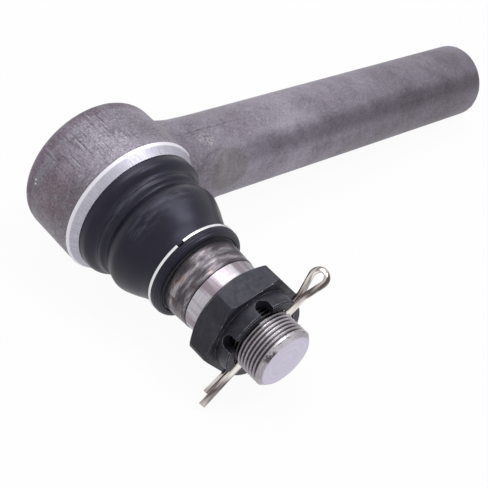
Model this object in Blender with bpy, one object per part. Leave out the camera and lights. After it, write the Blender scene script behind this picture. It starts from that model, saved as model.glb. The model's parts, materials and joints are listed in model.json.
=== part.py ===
# Heavy-duty tie rod end: a forged rod whose eye holds a ball stud, with the bearing inside
# the eye, a rubber boot, a slotted nut and the split pin that locks it.
#
# Every piece is modelled in the stud's frame. The ball's centre is the origin, +Z runs along
# the stud to its threaded end, +X runs along the rod, and +Y is the side that lies on top.
# Turned pieces are drawn as outlines of (along the stud, radius). At the end a parent empty
# lays the whole joint down on the table, as it comes to rest.

import math

import bmesh
import bpy
from mathutils import Matrix, Vector

MM = 0.001

# Clearance kept between neighbouring pieces, the facets of a full turn, outside and inside,
# and the angle from which an edge stays crisp
GAP = 0.3 * MM
TURN_STEPS = 36
INNER_STEPS = 28
SHARP_EDGE = math.radians(28.0)

# Rod, from the ball's centre to its plain cut end
ROD_RADIUS = 17.5 * MM
ROD_LENGTH = 217.0 * MM
ROD_END_BEVEL = 1.0 * MM
ROD_ROOT_FILLET = 12.0 * MM

# The rod's root: how much wider than the rod it is in front, how square it is in front and
# behind (2 is round), and where along the rod its front and its back have become round
ROOT_SPREAD = 1.3 * MM
ROOT_FRONT_SQUARENESS = 5.2
ROOT_BACK_SQUARENESS = 2.6
ROOT_FRONT_LENGTH = 48.0 * MM
ROOT_BACK_LENGTH = 35.0 * MM

# Ball, its neck, and how far the stud swings each way about either cross axis
BALL_RADIUS = 17.0 * MM
BALL_FLAT_RADIUS = 4.5 * MM
NECK_RADIUS = 10.5 * MM
SWING = math.radians(16.0)
SWING_CLEARANCE = math.radians(1.0)

# Bearing around the ball, from the inside out
LINER_WALL = 1.0 * MM
SEAT_WALL = 4.6 * MM
SEAT_SPLIT = 0.6 * MM
BACK_SEAT_OPENING = 7.5 * MM
BACK_SEAT_SHOULDER = 8.5 * MM
BACK_SEAT_LAND = 4.4 * MM
SPRING_THICKNESS = 1.3 * MM
SPRING_HEIGHT = 2.1 * MM
CLOSING_RING_THICKNESS = 4.0 * MM
CLOSING_RING_BORE = 18.4 * MM
SEAL_RADIUS = 0.8 * MM

# Forged eye around the bearing
EYE_WALL = 5.6 * MM
EYE_LENGTH = 24.3 * MM
EYE_BACK_EDGE = 4.8 * MM
EYE_BACK_PAD = 10.0 * MM
EYE_BACK_WALL = 4.5 * MM
LIP_THICKNESS = 2.0 * MM
LIP_BORE = 19.8 * MM
RIM_BEVEL_HEIGHT = 4.1 * MM
RIM_BEVEL_DEPTH = 2.6 * MM
RIM_LAND = 0.7 * MM

# Boot: the foot in the eye's mouth, the two lobes and the neck
FOOT_DEPTH = 3.0 * MM
FOOT_WALL = 1.4 * MM
FOOT_RING_WALL = 1.3 * MM
BOOT_WALL = 1.8 * MM
BOOT_SHOULDER = 0.2 * MM
VALLEY_HEIGHT = 10.4 * MM
VALLEY_RADIUS = 22.0 * MM
UPPER_LOBE_HEIGHT = 17.0 * MM
UPPER_LOBE_RADIUS = 23.6 * MM
WAIST_HEIGHT = 31.7 * MM
WAIST_RADIUS = 18.5 * MM
NECK_BUSH_WALL = 1.3 * MM
NECK_WALL = 1.0 * MM
CLAMP_THICKNESS = 1.0 * MM
CLAMP_WIDTH = 1.3 * MM
CLAMP_GAP = 2.2 * MM
CLAMP_GAP_TURN = math.radians(124.0)
COLLAR_LENGTH = 3.2 * MM
COLLAR_RADIUS = 19.4 * MM

# Stud beyond the ball
NECK_LENGTH = 21.0 * MM
FLARE_LENGTH = 17.0 * MM
JOURNAL_RADIUS = 15.0 * MM
TAPER_RADIUS = 16.25 * MM
TAPER_RATIO = 1.0 / 8.0
TAPER_LENGTH = 17.6 * MM
GROUND_BAND_LENGTH = 6.7 * MM
GROUND_BAND_STEP = 0.2 * MM
THREAD_RADIUS = 12.0 * MM
THREAD_LENGTH = 28.0 * MM
THREAD_END_BEVEL = 0.9 * MM

# Slotted nut and split pin. SLOT_TURN is the pin's direction, turned up from the rod.
NUT_ACROSS_FLATS = 37.4 * MM
NUT_HEX_HEIGHT = 10.5 * MM
NUT_SEAT_RADIUS = 17.6 * MM
NUT_SEAT_CHAMFER = math.radians(36.0)
NUT_FRONT_RADIUS = 20.0 * MM
NUT_FRONT_CHAMFER = math.radians(30.0)
CROWN_RADIUS = 16.5 * MM
CROWN_HEIGHT = 6.2 * MM
CROWN_BEVEL = 0.5 * MM
SLOT_COUNT = 6
SLOT_WIDTH = 5.4 * MM
SLOT_DEPTH = 5.0 * MM
SLOT_TURN = math.radians(46.0)
PIN_RADIUS = 1.8 * MM
PIN_SINK = 1.1 * MM
PIN_CLEARANCE = 0.3 * MM
PIN_SPLIT = 0.3 * MM
PIN_SHORT_LEG = 26.7 * MM
PIN_LONG_LEG = 30.7 * MM
PIN_SPREAD = math.radians(1.2)
PIN_EYE_RADIUS = 2.3 * MM
PIN_EYE_REACH = 11.9 * MM

# Densities in kg per cubic metre, for the centre of mass that decides how the joint lies
STEEL = 7850.0
PLASTIC = 1400.0
RUBBER = 1200.0

# Sizes that follow from the ones above, from the ball outwards
LINER_BORE = BALL_RADIUS + GAP
LINER_RADIUS = LINER_BORE + LINER_WALL
SEAT_BORE = LINER_RADIUS + GAP
SEAT_RADIUS = SEAT_BORE + SEAT_WALL
EYE_BORE = SEAT_RADIUS + GAP
EYE_RADIUS = EYE_BORE + EYE_WALL

# Half angles of the openings that the neck swings in
NECK_ANGLE = math.asin(NECK_RADIUS / BALL_RADIUS)
BOTH_SWINGS = math.acos(math.cos(SWING) ** 2)
LINER_MOUTH = NECK_ANGLE + SWING + SWING_CLEARANCE
SEAT_MOUTH = NECK_ANGLE + BOTH_SWINGS + SWING_CLEARANCE

# Heights along the stud, from the ball's centre to the eye's rim
FRONT_SEAT_TOP = SEAT_BORE * math.cos(SEAT_MOUTH)
CLOSING_RING_BASE = FRONT_SEAT_TOP + GAP
CLOSING_RING_TOP = CLOSING_RING_BASE + CLOSING_RING_THICKNESS
LIP_BASE = CLOSING_RING_TOP + GAP
LIP_TOP = LIP_BASE + LIP_THICKNESS
RIM_TOP = LIP_TOP + FOOT_DEPTH
RIM_EDGE = RIM_TOP - RIM_BEVEL_HEIGHT
RIM_RADIUS = EYE_RADIUS - RIM_BEVEL_DEPTH
MOUTH_RADIUS = RIM_RADIUS - RIM_LAND

# Heights behind the ball
BACK_SEAT_BASE = -math.sqrt(SEAT_BORE**2 - BACK_SEAT_OPENING**2)
BACK_SEAT_RADIUS = BACK_SEAT_OPENING + BACK_SEAT_LAND
SPRING_TOP = BACK_SEAT_BASE - GAP
SPRING_BASE = SPRING_TOP - SPRING_HEIGHT
FLOOR = SPRING_BASE - GAP
BACK_PAD = FLOOR - EYE_BACK_WALL
BACK_EDGE = RIM_EDGE - EYE_LENGTH

# Heights of the boot's neck and of the stud past it
WAIST = RIM_TOP + WAIST_HEIGHT
CLAMP_BASE = WAIST + GAP
CLAMP_TOP = CLAMP_BASE + CLAMP_THICKNESS
COLLAR_BASE = CLAMP_TOP + GAP
COLLAR_TOP = COLLAR_BASE + COLLAR_LENGTH
TAPER_BASE = COLLAR_TOP + GAP
SHOULDER = TAPER_BASE + TAPER_LENGTH
NECK_BUSH_BORE = JOURNAL_RADIUS + GAP
NECK_BUSH_RADIUS = NECK_BUSH_BORE + NECK_BUSH_WALL
BOOT_NECK_BORE = NECK_BUSH_RADIUS + GAP
CLAMP_SEAT = BOOT_NECK_BORE + NECK_WALL

# Heights of the nut, the pin and the stud's end
NUT_BASE = SHOULDER + GAP
NUT_HEX_TOP = NUT_BASE + NUT_HEX_HEIGHT
NUT_TOP = NUT_HEX_TOP + CROWN_HEIGHT
NUT_BORE = THREAD_RADIUS + GAP
SLOT_BASE = NUT_TOP - SLOT_DEPTH
PIN_HOLE_RADIUS = PIN_RADIUS + PIN_SPLIT / 2 + PIN_CLEARANCE
PIN_HEIGHT = NUT_TOP - PIN_SINK
STUD_END = SHOULDER + THREAD_LENGTH


def arc(centre, radius, start, end, steps):
    """Points of an outline's round stretch, with angles taken from the stud's direction."""
    turn = (end - start) / steps
    angles = [start + turn * step for step in range(steps + 1)]
    return [
        (centre[0] + radius * math.cos(angle), centre[1] + radius * math.sin(angle))
        for angle in angles
    ]


def smooth_curve(points, steps):
    """A smooth stretch of outline through a few chosen points (Catmull-Rom)."""
    before = [2 * a - b for a, b in zip(points[0], points[1])]
    after = [2 * a - b for a, b in zip(points[-1], points[-2])]
    chain = [before, *points, after]
    curve = []
    for first, start, end, last in zip(chain, chain[1:], chain[2:], chain[3:]):
        for step in range(steps):
            t = step / steps
            curve.append(
                tuple(
                    0.5 * (2 * b + (c - a) * t + (2 * a - 5 * b + 4 * c - d) * t * t
                           + (3 * b - 3 * c + d - a) * t**3)
                    for a, b, c, d in zip(first, start, end, last)
                )
            )
    curve.append(tuple(points[-1]))
    return curve


def offset_outline(points, distance):
    """The same stretch of outline moved inwards, towards the axis, by a wall's thickness."""
    moved = []
    for index, point in enumerate(points):
        before = Vector(points[max(index - 1, 0)])
        after = Vector(points[min(index + 1, len(points) - 1)])
        along = (after - before).normalized()
        moved.append((point[0] + along.y * distance, point[1] - along.x * distance))
    return moved


def material(name, colour, metallic, roughness):
    made = bpy.data.materials.new(name)
    made.use_nodes = True
    shader = made.node_tree.nodes["Principled BSDF"]
    shader.inputs["Base Color"].default_value = (*colour, 1.0)
    shader.inputs["Metallic"].default_value = metallic
    shader.inputs["Roughness"].default_value = roughness
    made.diffuse_color = (*colour, 1.0)
    return made


def add_piece(name, mesh, parent, finish=None, density=None):
    """Place a finished mesh as one named piece, on the axis that its parent marks."""
    mesh.shade_smooth()
    mesh.set_sharp_from_angle(angle=SHARP_EDGE)
    piece = bpy.data.objects.new(name, mesh)
    bpy.context.collection.objects.link(piece)
    piece.parent = parent
    if finish:
        mesh.materials.append(finish)
        piece["density"] = density
    return piece


def add_cutter(name, mesh, parent):
    cutter = add_piece(name, mesh, parent)
    cutter.hide_render = True
    cutter.display_type = "WIRE"
    return cutter


def shape(piece, cutter, operation):
    step = piece.modifiers.new(cutter.name, "BOOLEAN")
    step.operation = operation
    step.solver = "EXACT"
    step.object = cutter


def mesh_from(bm, name):
    bmesh.ops.remove_doubles(bm, verts=bm.verts, dist=0.001 * MM)
    bmesh.ops.recalc_face_normals(bm, faces=bm.faces)
    mesh = bpy.data.meshes.new(name)
    bm.to_mesh(mesh)
    bm.free()
    return mesh


def turned(name, outline, steps=TURN_STEPS):
    """Turn an outline of (along, radius) points round the stud's axis."""
    bm = bmesh.new()
    verts = [bm.verts.new((radius, 0.0, along)) for along, radius in outline]
    edges = [bm.edges.new(pair) for pair in zip(verts, verts[1:])]
    if outline[0][1] > 0.0:
        edges.append(bm.edges.new((verts[-1], verts[0])))
    bmesh.ops.spin(
        bm,
        geom=verts + edges,
        cent=(0, 0, 0),
        axis=(0, 0, 1),
        angle=math.tau,
        steps=steps,
        use_merge=True,
    )
    return mesh_from(bm, name)


def skinned(name, rings):
    """Join rings of points, one after the other, and close both ends."""
    bm = bmesh.new()
    loops = [[bm.verts.new(point) for point in ring] for ring in rings]
    for lower, upper in zip(loops, loops[1:]):
        sides = zip(lower, lower[1:] + lower[:1], upper[1:] + upper[:1], upper)
        for side in sides:
            bm.faces.new(side)
    bm.faces.new(loops[0])
    bm.faces.new(loops[-1])
    return mesh_from(bm, name)


def block(name, centre, size, turn=0.0):
    """A box for cutting, turned about the stud's axis."""
    bm = bmesh.new()
    bmesh.ops.create_cube(bm, size=1.0)
    bmesh.ops.scale(bm, verts=bm.verts, vec=size)
    bmesh.ops.translate(bm, verts=bm.verts, vec=centre)
    bmesh.ops.rotate(bm, verts=bm.verts, cent=(0, 0, 0), matrix=Matrix.Rotation(turn, 3, "Z"))
    return mesh_from(bm, name)


# Forging


def eye_outline():
    """The eye's outer form: a domed back, a straight barrel and the turned rim bevel."""
    centre = Vector((BACK_EDGE, EYE_RADIUS - EYE_BACK_EDGE))
    pad = Vector((BACK_PAD, EYE_BACK_PAD))
    reach = centre - pad
    slope = math.acos(EYE_BACK_EDGE / reach.length) - math.atan2(reach.y, reach.x)
    edge = arc(centre, EYE_BACK_EDGE, math.pi - slope, math.pi / 2, 6)
    return [
        (BACK_PAD, 0.0),
        (BACK_PAD, EYE_BACK_PAD),
        *edge,
        (RIM_EDGE, EYE_RADIUS),
        (RIM_TOP, RIM_RADIUS),
        (RIM_TOP, 0.0),
    ]


def bore_outline():
    """What is machined out of the eye: spring pocket, bearing bore, lip and boot seat."""
    return [
        (FLOOR, 0.0),
        (FLOOR, BACK_SEAT_RADIUS + GAP),
        (BACK_SEAT_BASE, BACK_SEAT_RADIUS + GAP),
        (-BACK_SEAT_SHOULDER, EYE_BORE),
        (LIP_BASE, EYE_BORE),
        (LIP_BASE, LIP_BORE),
        (LIP_TOP, LIP_BORE),
        (LIP_TOP, MOUTH_RADIUS),
        (RIM_TOP, MOUTH_RADIUS),
        (RIM_TOP, RIM_RADIUS),
        (RIM_TOP + ROD_RADIUS, RIM_RADIUS),
        (RIM_TOP + ROD_RADIUS, 0.0),
    ]


def rod_ring(x, half_height, half_width, front=2.0, back=2.0):
    """A section of the rod, round or squarer, by how square its front and its back are."""
    ring = []
    for step in range(TURN_STEPS):
        angle = math.tau * step / TURN_STEPS
        up = math.cos(angle)
        out = math.sin(angle)
        power = 2.0 / (front if out > 0.0 else back)
        height = half_height * math.copysign(abs(up) ** power, up)
        width = half_width * math.copysign(abs(out) ** power, out)
        ring.append((x, height, width))
    return ring


def fading(x, start, end):
    """From one at the start to nothing at the end, level at both."""
    share = min((x - start) / (end - start), 1.0)
    return (1.0 - share) ** 2 * (1.0 + 2.0 * share)


def root_ring(x, start, end):
    """A section of the rod's root, which is squarest at the eye and grows round along the rod."""
    fillet = ROD_ROOT_FILLET
    flare = fillet - math.sqrt(fillet**2 - min(max(end - x, 0.0), fillet) ** 2)
    ease = fading(x, start, ROOT_FRONT_LENGTH)
    front = 2.0 + (ROOT_FRONT_SQUARENESS - 2.0) * ease
    back = 2.0 + (ROOT_BACK_SQUARENESS - 2.0) * fading(x, start, ROOT_BACK_LENGTH)
    return rod_ring(x, ROD_RADIUS + flare, ROD_RADIUS + ROOT_SPREAD * ease, front, back)


def rod_mesh():
    """The rod, and its root that runs up and down into the eye's barrel by a fillet."""
    fillet = ROD_ROOT_FILLET
    root_end = math.sqrt((EYE_RADIUS + fillet) ** 2 - (ROD_RADIUS + fillet) ** 2)
    root_start = root_end * EYE_RADIUS / (EYE_RADIUS + fillet)
    rings = [rod_ring(root_start * 0.7, ROD_RADIUS, ROD_RADIUS * 0.9)]
    steps = 6
    flared = [root_start + (root_end - root_start) * step / steps for step in range(steps)]
    straight = [root_end + (ROOT_FRONT_LENGTH - root_end) * step / steps for step in range(steps + 1)]
    rings += [root_ring(x, root_start, root_end) for x in flared + straight]
    rings.append(rod_ring(ROD_LENGTH - ROD_END_BEVEL, ROD_RADIUS, ROD_RADIUS))
    end_radius = ROD_RADIUS - ROD_END_BEVEL
    rings.append(rod_ring(ROD_LENGTH, end_radius, end_radius))
    return skinned("rod", rings)


def add_forging(parent):
    finish = material("forged_scale", (0.36, 0.34, 0.35), 0.75, 0.5)
    forging = add_piece("rod_end_forging", turned("eye", eye_outline()), parent, finish, STEEL)
    shape(forging, add_cutter("rod_blank", rod_mesh(), parent), "UNION")
    bore = add_cutter("eye_bore", turned("eye_bore", bore_outline()), parent)
    shape(forging, bore, "DIFFERENCE")
    return forging


# Bearing inside the eye


def shell_outline(start, end, bore, radius, steps=4):
    """A piece of hollow ball between two angles from the stud's axis."""
    inner = arc((0.0, 0.0), bore, start, end, steps)
    outer = arc((0.0, 0.0), radius, end, start, steps)
    return inner + outer


def add_liners(parent):
    finish = material("bearing_liner", (0.82, 0.80, 0.72), 0.0, 0.45)
    split = math.asin(SEAT_SPLIT / 2 / LINER_BORE)
    front = shell_outline(LINER_MOUTH, math.pi / 2 - split, LINER_BORE, LINER_RADIUS)
    back_start = math.pi / 2 + split
    back_end = math.pi - LINER_MOUTH / 2
    back = shell_outline(back_start, back_end, LINER_BORE, LINER_RADIUS)
    add_piece("front_liner", turned("front_liner", front, INNER_STEPS), parent, finish, PLASTIC)
    add_piece("back_liner", turned("back_liner", back, INNER_STEPS), parent, finish, PLASTIC)


def add_seats(parent):
    finish = material("bearing_seat", (0.16, 0.17, 0.19), 0.0, 0.5)
    split = math.acos(SEAT_SPLIT / 2 / SEAT_BORE)
    front = [
        *arc((0.0, 0.0), SEAT_BORE, SEAT_MOUTH, split, 3),
        (SEAT_SPLIT / 2, SEAT_RADIUS),
        (FRONT_SEAT_TOP, SEAT_RADIUS),
    ]
    back_angle = math.pi - math.asin(BACK_SEAT_OPENING / SEAT_BORE)
    back = [
        *arc((0.0, 0.0), SEAT_BORE, math.pi - split, back_angle, 5),
        (BACK_SEAT_BASE, BACK_SEAT_RADIUS),
        (GAP - BACK_SEAT_SHOULDER, SEAT_RADIUS),
        (-SEAT_SPLIT / 2, SEAT_RADIUS),
    ]
    add_piece("front_seat", turned("front_seat", front, INNER_STEPS), parent, finish, PLASTIC)
    add_piece("back_seat", turned("back_seat", back, INNER_STEPS), parent, finish, PLASTIC)


def add_spring(parent):
    """The cone-shaped disc spring that keeps the bearing pressed on the ball."""
    finish = material("spring_steel", (0.30, 0.30, 0.33), 0.9, 0.35)
    inner = BACK_SEAT_OPENING + GAP
    outer = BACK_SEAT_RADIUS
    outline = [
        (SPRING_TOP, inner),
        (SPRING_TOP - SPRING_THICKNESS, inner),
        (SPRING_BASE, outer),
        (SPRING_BASE + SPRING_THICKNESS, outer),
    ]
    spring = turned("preload_spring", outline, INNER_STEPS)
    add_piece("preload_spring", spring, parent, finish, STEEL)


def add_closing_ring(parent):
    finish = material("turned_steel", (0.45, 0.45, 0.47), 0.9, 0.35)
    middle = (CLOSING_RING_BASE + CLOSING_RING_TOP) / 2
    groove_half = SEAL_RADIUS + GAP
    groove = SEAT_RADIUS - 2 * SEAL_RADIUS - GAP
    outline = [
        (CLOSING_RING_BASE, CLOSING_RING_BORE),
        (CLOSING_RING_BASE, SEAT_RADIUS),
        (middle - groove_half, SEAT_RADIUS),
        (middle - groove_half, groove),
        (middle + groove_half, groove),
        (middle + groove_half, SEAT_RADIUS),
        (CLOSING_RING_TOP, SEAT_RADIUS),
        (CLOSING_RING_TOP, CLOSING_RING_BORE),
    ]
    ring = turned("closing_ring", outline, INNER_STEPS)
    add_piece("closing_ring", ring, parent, finish, STEEL)
    rubber = material("seal_rubber", (0.03, 0.03, 0.03), 0.0, 0.6)
    section = arc((middle, SEAT_RADIUS - SEAL_RADIUS), SEAL_RADIUS, 0.0, math.tau, 8)[:-1]
    seal = turned("closing_ring_seal", section, INNER_STEPS)
    add_piece("closing_ring_seal", seal, parent, rubber, RUBBER)


# Boot and what holds it


def boot_skin():
    """The boot's outside from the rim to the waist: a lower lobe, a valley, an upper lobe."""
    shoulder = (RIM_TOP + GAP, RIM_RADIUS - BOOT_SHOULDER)
    drop = shoulder[1] - VALLEY_RADIUS
    lower = smooth_curve(
        [
            shoulder,
            (RIM_TOP + VALLEY_HEIGHT * 0.4, shoulder[1] - drop * 0.16),
            (RIM_TOP + VALLEY_HEIGHT * 0.72, shoulder[1] - drop * 0.6),
            (RIM_TOP + VALLEY_HEIGHT, VALLEY_RADIUS),
        ],
        2,
    )
    swell = UPPER_LOBE_RADIUS - VALLEY_RADIUS
    waisted = UPPER_LOBE_RADIUS - WAIST_RADIUS
    fall = WAIST_HEIGHT - UPPER_LOBE_HEIGHT
    upper = smooth_curve(
        [
            (RIM_TOP + VALLEY_HEIGHT, VALLEY_RADIUS),
            (RIM_TOP + VALLEY_HEIGHT * 0.5 + UPPER_LOBE_HEIGHT * 0.5, VALLEY_RADIUS + swell * 0.7),
            (RIM_TOP + UPPER_LOBE_HEIGHT, UPPER_LOBE_RADIUS),
            (RIM_TOP + UPPER_LOBE_HEIGHT + fall * 0.3, UPPER_LOBE_RADIUS - waisted * 0.29),
            (RIM_TOP + UPPER_LOBE_HEIGHT + fall * 0.7, UPPER_LOBE_RADIUS - waisted * 0.82),
            (WAIST, WAIST_RADIUS),
        ],
        2,
    )
    return lower + upper[1:]


def boot_outline():
    skin = boot_skin()
    foot_radius = MOUTH_RADIUS - GAP
    foot_top = RIM_TOP + GAP
    neck_base = WAIST - BOOT_WALL
    inside = [p for p in offset_outline(skin, BOOT_WALL)[::2] if foot_top < p[0] < neck_base]
    collar_round = 0.9 * MM
    collar = arc(
        (COLLAR_TOP - collar_round, COLLAR_RADIUS - collar_round), collar_round, math.pi / 2, 0.0, 3
    )
    return [
        (LIP_TOP + GAP, foot_radius - FOOT_WALL),
        (LIP_TOP + GAP, foot_radius),
        (foot_top, foot_radius),
        *skin,
        (WAIST, CLAMP_SEAT),
        (COLLAR_BASE, CLAMP_SEAT),
        (COLLAR_BASE, COLLAR_RADIUS),
        *collar,
        (COLLAR_TOP, BOOT_NECK_BORE),
        (neck_base, BOOT_NECK_BORE),
        *reversed(inside),
        (foot_top, foot_radius - FOOT_WALL),
    ]


def add_boot(parent):
    rubber = material("boot_rubber", (0.045, 0.045, 0.055), 0.0, 0.5)
    add_piece("boot", turned("boot", boot_outline()), parent, rubber, RUBBER)
    steel = material("foot_ring_steel", (0.45, 0.45, 0.47), 0.9, 0.35)
    outer = MOUTH_RADIUS - 2 * GAP - FOOT_WALL
    inner = outer - FOOT_RING_WALL
    base = LIP_TOP + GAP
    outline = [(base, inner), (base, outer), (RIM_TOP, outer), (RIM_TOP, inner)]
    ring = turned("boot_foot_ring", outline, INNER_STEPS)
    add_piece("boot_foot_ring", ring, parent, steel, STEEL)


def add_neck(parent):
    """The bush that the stud turns in and the split ring that clamps the boot on it."""
    plastic = material("neck_bush_plastic", (0.10, 0.10, 0.11), 0.0, 0.5)
    outline = [
        (WAIST - BOOT_WALL, NECK_BUSH_BORE),
        (WAIST - BOOT_WALL, NECK_BUSH_RADIUS),
        (COLLAR_TOP - GAP, NECK_BUSH_RADIUS),
        (COLLAR_TOP - GAP, NECK_BUSH_BORE),
    ]
    bush = turned("boot_neck_bush", outline, INNER_STEPS)
    add_piece("boot_neck_bush", bush, parent, plastic, PLASTIC)
    bright = material("clamp_ring_zinc", (0.80, 0.80, 0.82), 0.95, 0.25)
    inner = CLAMP_SEAT + GAP
    outer = inner + CLAMP_WIDTH
    ring = [(CLAMP_BASE, inner), (CLAMP_BASE, outer), (CLAMP_TOP, outer), (CLAMP_TOP, inner)]
    clamp = add_piece("boot_clamp_ring", turned("clamp", ring), parent, bright, STEEL)
    size = (2 * CLAMP_WIDTH + 2 * GAP, CLAMP_GAP, 3 * CLAMP_THICKNESS)
    middle = (inner + CLAMP_WIDTH / 2, 0.0, (CLAMP_BASE + CLAMP_TOP) / 2)
    gap = block("clamp_gap", middle, size, CLAMP_GAP_TURN)
    shape(clamp, add_cutter("clamp_gap", gap, parent), "DIFFERENCE")


# Ball stud, nut and pin


def stud_outline():
    flat_angle = math.pi - math.asin(BALL_FLAT_RADIUS / BALL_RADIUS)
    ball = arc((0.0, 0.0), BALL_RADIUS, flat_angle, NECK_ANGLE, 12)
    flare_top = NECK_LENGTH + FLARE_LENGTH
    flare = smooth_curve(
        [
            (NECK_LENGTH, NECK_RADIUS),
            (NECK_LENGTH + FLARE_LENGTH * 0.5, (NECK_RADIUS + JOURNAL_RADIUS) / 2),
            (flare_top, JOURNAL_RADIUS),
        ],
        3,
    )
    band_base = SHOULDER - GROUND_BAND_LENGTH
    fall = TAPER_RATIO / 2
    step_radius = TAPER_RADIUS - fall * (band_base - TAPER_BASE)
    band_radius = step_radius - GROUND_BAND_STEP
    return [
        (ball[0][0], 0.0),
        *ball,
        *flare,
        (TAPER_BASE, JOURNAL_RADIUS),
        (TAPER_BASE, TAPER_RADIUS),
        (band_base, step_radius),
        (band_base, band_radius),
        (SHOULDER, band_radius - fall * GROUND_BAND_LENGTH),
        (SHOULDER, THREAD_RADIUS),
        (STUD_END - THREAD_END_BEVEL, THREAD_RADIUS),
        (STUD_END, THREAD_RADIUS - THREAD_END_BEVEL),
        (STUD_END, 0.0),
    ]


def pin_frame():
    """The pin's own frame: x along the pin to its eye, z towards the stud's end."""
    return Matrix.Translation((0.0, 0.0, PIN_HEIGHT)) @ Matrix.Rotation(SLOT_TURN, 4, "Z")


def rod_cutter(radius, length, frame):
    """A round cutter that lies along x in the frame given."""
    bm = bmesh.new()
    bmesh.ops.create_cone(
        bm, cap_ends=True, segments=20, radius1=radius, radius2=radius, depth=length
    )
    lay = Matrix.Rotation(math.pi / 2, 4, "Y")
    bmesh.ops.transform(bm, verts=bm.verts, matrix=frame @ lay)
    return mesh_from(bm, "round_cutter")


def add_stud(parent):
    finish = material("stud_steel", (0.62, 0.60, 0.62), 0.95, 0.28)
    stud = add_piece("ball_stud", turned("ball_stud", stud_outline()), parent, finish, STEEL)
    hole = rod_cutter(PIN_HOLE_RADIUS, 4 * THREAD_RADIUS, pin_frame())
    shape(stud, add_cutter("pin_hole", hole, parent), "DIFFERENCE")


def nut_blank_outline():
    """The turned nut before its flats are cut: two chamfers, body, crown and thread bore."""
    corner = NUT_ACROSS_FLATS / math.sqrt(3.0)
    over_corner = corner + GAP
    seat_chamfer = (over_corner - NUT_SEAT_RADIUS) * math.tan(NUT_SEAT_CHAMFER)
    front_chamfer = (over_corner - NUT_FRONT_RADIUS) * math.tan(NUT_FRONT_CHAMFER)
    return [
        (NUT_BASE, NUT_BORE),
        (NUT_BASE, NUT_SEAT_RADIUS),
        (NUT_BASE + seat_chamfer, over_corner),
        (NUT_HEX_TOP - front_chamfer, over_corner),
        (NUT_HEX_TOP, NUT_FRONT_RADIUS),
        (NUT_HEX_TOP, CROWN_RADIUS),
        (NUT_TOP - CROWN_BEVEL, CROWN_RADIUS),
        (NUT_TOP, CROWN_RADIUS - CROWN_BEVEL),
        (NUT_TOP, NUT_BORE),
    ]


def hexagon_mesh():
    """Six flats, turned so that the middle of each one faces a slot."""
    corner = NUT_ACROSS_FLATS / math.sqrt(3.0)
    turns = [SLOT_TURN + math.tau * (index + 0.5) / 6 for index in range(6)]
    rings = [
        [(corner * math.cos(turn), corner * math.sin(turn), height) for turn in turns]
        for height in (NUT_BASE - GAP, NUT_TOP + GAP)
    ]
    return skinned("hexagon", rings)


def slot_mesh(turn):
    """One slot, open at the crown's top and round at its bottom."""
    half = SLOT_WIDTH / 2
    bottom = arc((0.0, SLOT_BASE + half), half, math.pi, math.tau, 8)
    side = [(half, NUT_TOP + half), (-half, NUT_TOP + half), *bottom]
    face = Matrix.Rotation(turn, 3, "Z")
    rings = [
        [face @ Vector((x, y, z)) for y, z in side]
        for x in (THREAD_RADIUS / 2, CROWN_RADIUS + half)
    ]
    return skinned("slot", rings)


def add_nut(parent):
    finish = material("nut_phosphate", (0.085, 0.085, 0.10), 0.5, 0.55)
    nut = add_piece("castle_nut", turned("nut_blank", nut_blank_outline()), parent, finish, STEEL)
    shape(nut, add_cutter("nut_hexagon", hexagon_mesh(), parent), "INTERSECT")
    for index in range(SLOT_COUNT):
        turn = SLOT_TURN + math.tau * index / SLOT_COUNT
        slot = add_cutter(f"nut_slot_{index + 1}", slot_mesh(turn), parent)
        shape(nut, slot, "DIFFERENCE")


def pin_path():
    """The wire's inner line in the pin's frame: long leg, round the eye, short leg."""
    half_split = PIN_SPLIT / 2
    leave = CROWN_RADIUS
    neck = CROWN_RADIUS + 2 * PIN_RADIUS
    eye = neck + PIN_EYE_REACH - PIN_EYE_RADIUS - PIN_RADIUS
    reach = math.hypot(eye - neck, half_split)
    rise = math.asin(PIN_EYE_RADIUS / reach) - math.asin(half_split / reach)
    long_tip = (-PIN_LONG_LEG, half_split + (PIN_LONG_LEG - leave) * math.tan(PIN_SPREAD))
    short_tip = (-PIN_SHORT_LEG, -half_split - (PIN_SHORT_LEG - leave) * math.tan(PIN_SPREAD))
    turn = arc((eye, 0.0), PIN_EYE_RADIUS, math.pi / 2 + rise, -math.pi / 2 - rise, 12)
    out = [long_tip, (-leave, half_split), (neck, half_split)]
    back = [(neck, -half_split), (-leave, -half_split), short_tip]
    return out + turn + back


def pin_mesh():
    """Half-round wire bent double, flat side inwards, so that both legs make a round pin."""
    path = [Vector(point) for point in pin_path()]
    frame = pin_frame()
    section = [math.pi * step / 8 for step in range(9)]
    rings = []
    for index, point in enumerate(path):
        before = path[max(index - 1, 0)]
        after = path[min(index + 1, len(path) - 1)]
        along = (after - before).normalized()
        outward = Vector((-along.y, along.x))
        ring = []
        for angle in section:
            rise = outward * (PIN_RADIUS * math.sin(angle))
            across = PIN_RADIUS * math.cos(angle)
            ring.append(frame @ Vector((point.x + rise.x, across, point.y + rise.y)))
        rings.append(ring)
    return skinned("split_pin", rings)


def add_pin(parent):
    finish = material("pin_zinc", (0.78, 0.72, 0.60), 0.95, 0.3)
    add_piece("split_pin", pin_mesh(), parent, finish, STEEL)


# Laying the joint down


def finished_triangles(piece):
    """A piece's triangles in the stud's frame, with its cuts made."""
    evaluated = piece.evaluated_get(bpy.context.evaluated_depsgraph_get())
    mesh = evaluated.to_mesh()
    mesh.calc_loop_triangles()
    points = [vertex.co.copy() for vertex in mesh.vertices]
    triangles = [[points[i] for i in triangle.vertices] for triangle in mesh.loop_triangles]
    evaluated.to_mesh_clear()
    return triangles


def centre_of_mass(pieces):
    total = 0.0
    moment = Vector()
    for piece in pieces:
        for a, b, c in finished_triangles(piece):
            mass = a.dot(b.cross(c)) / 6.0 * piece["density"]
            total += mass
            moment += (a + b + c) / 4.0 * mass
    return moment / total


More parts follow.
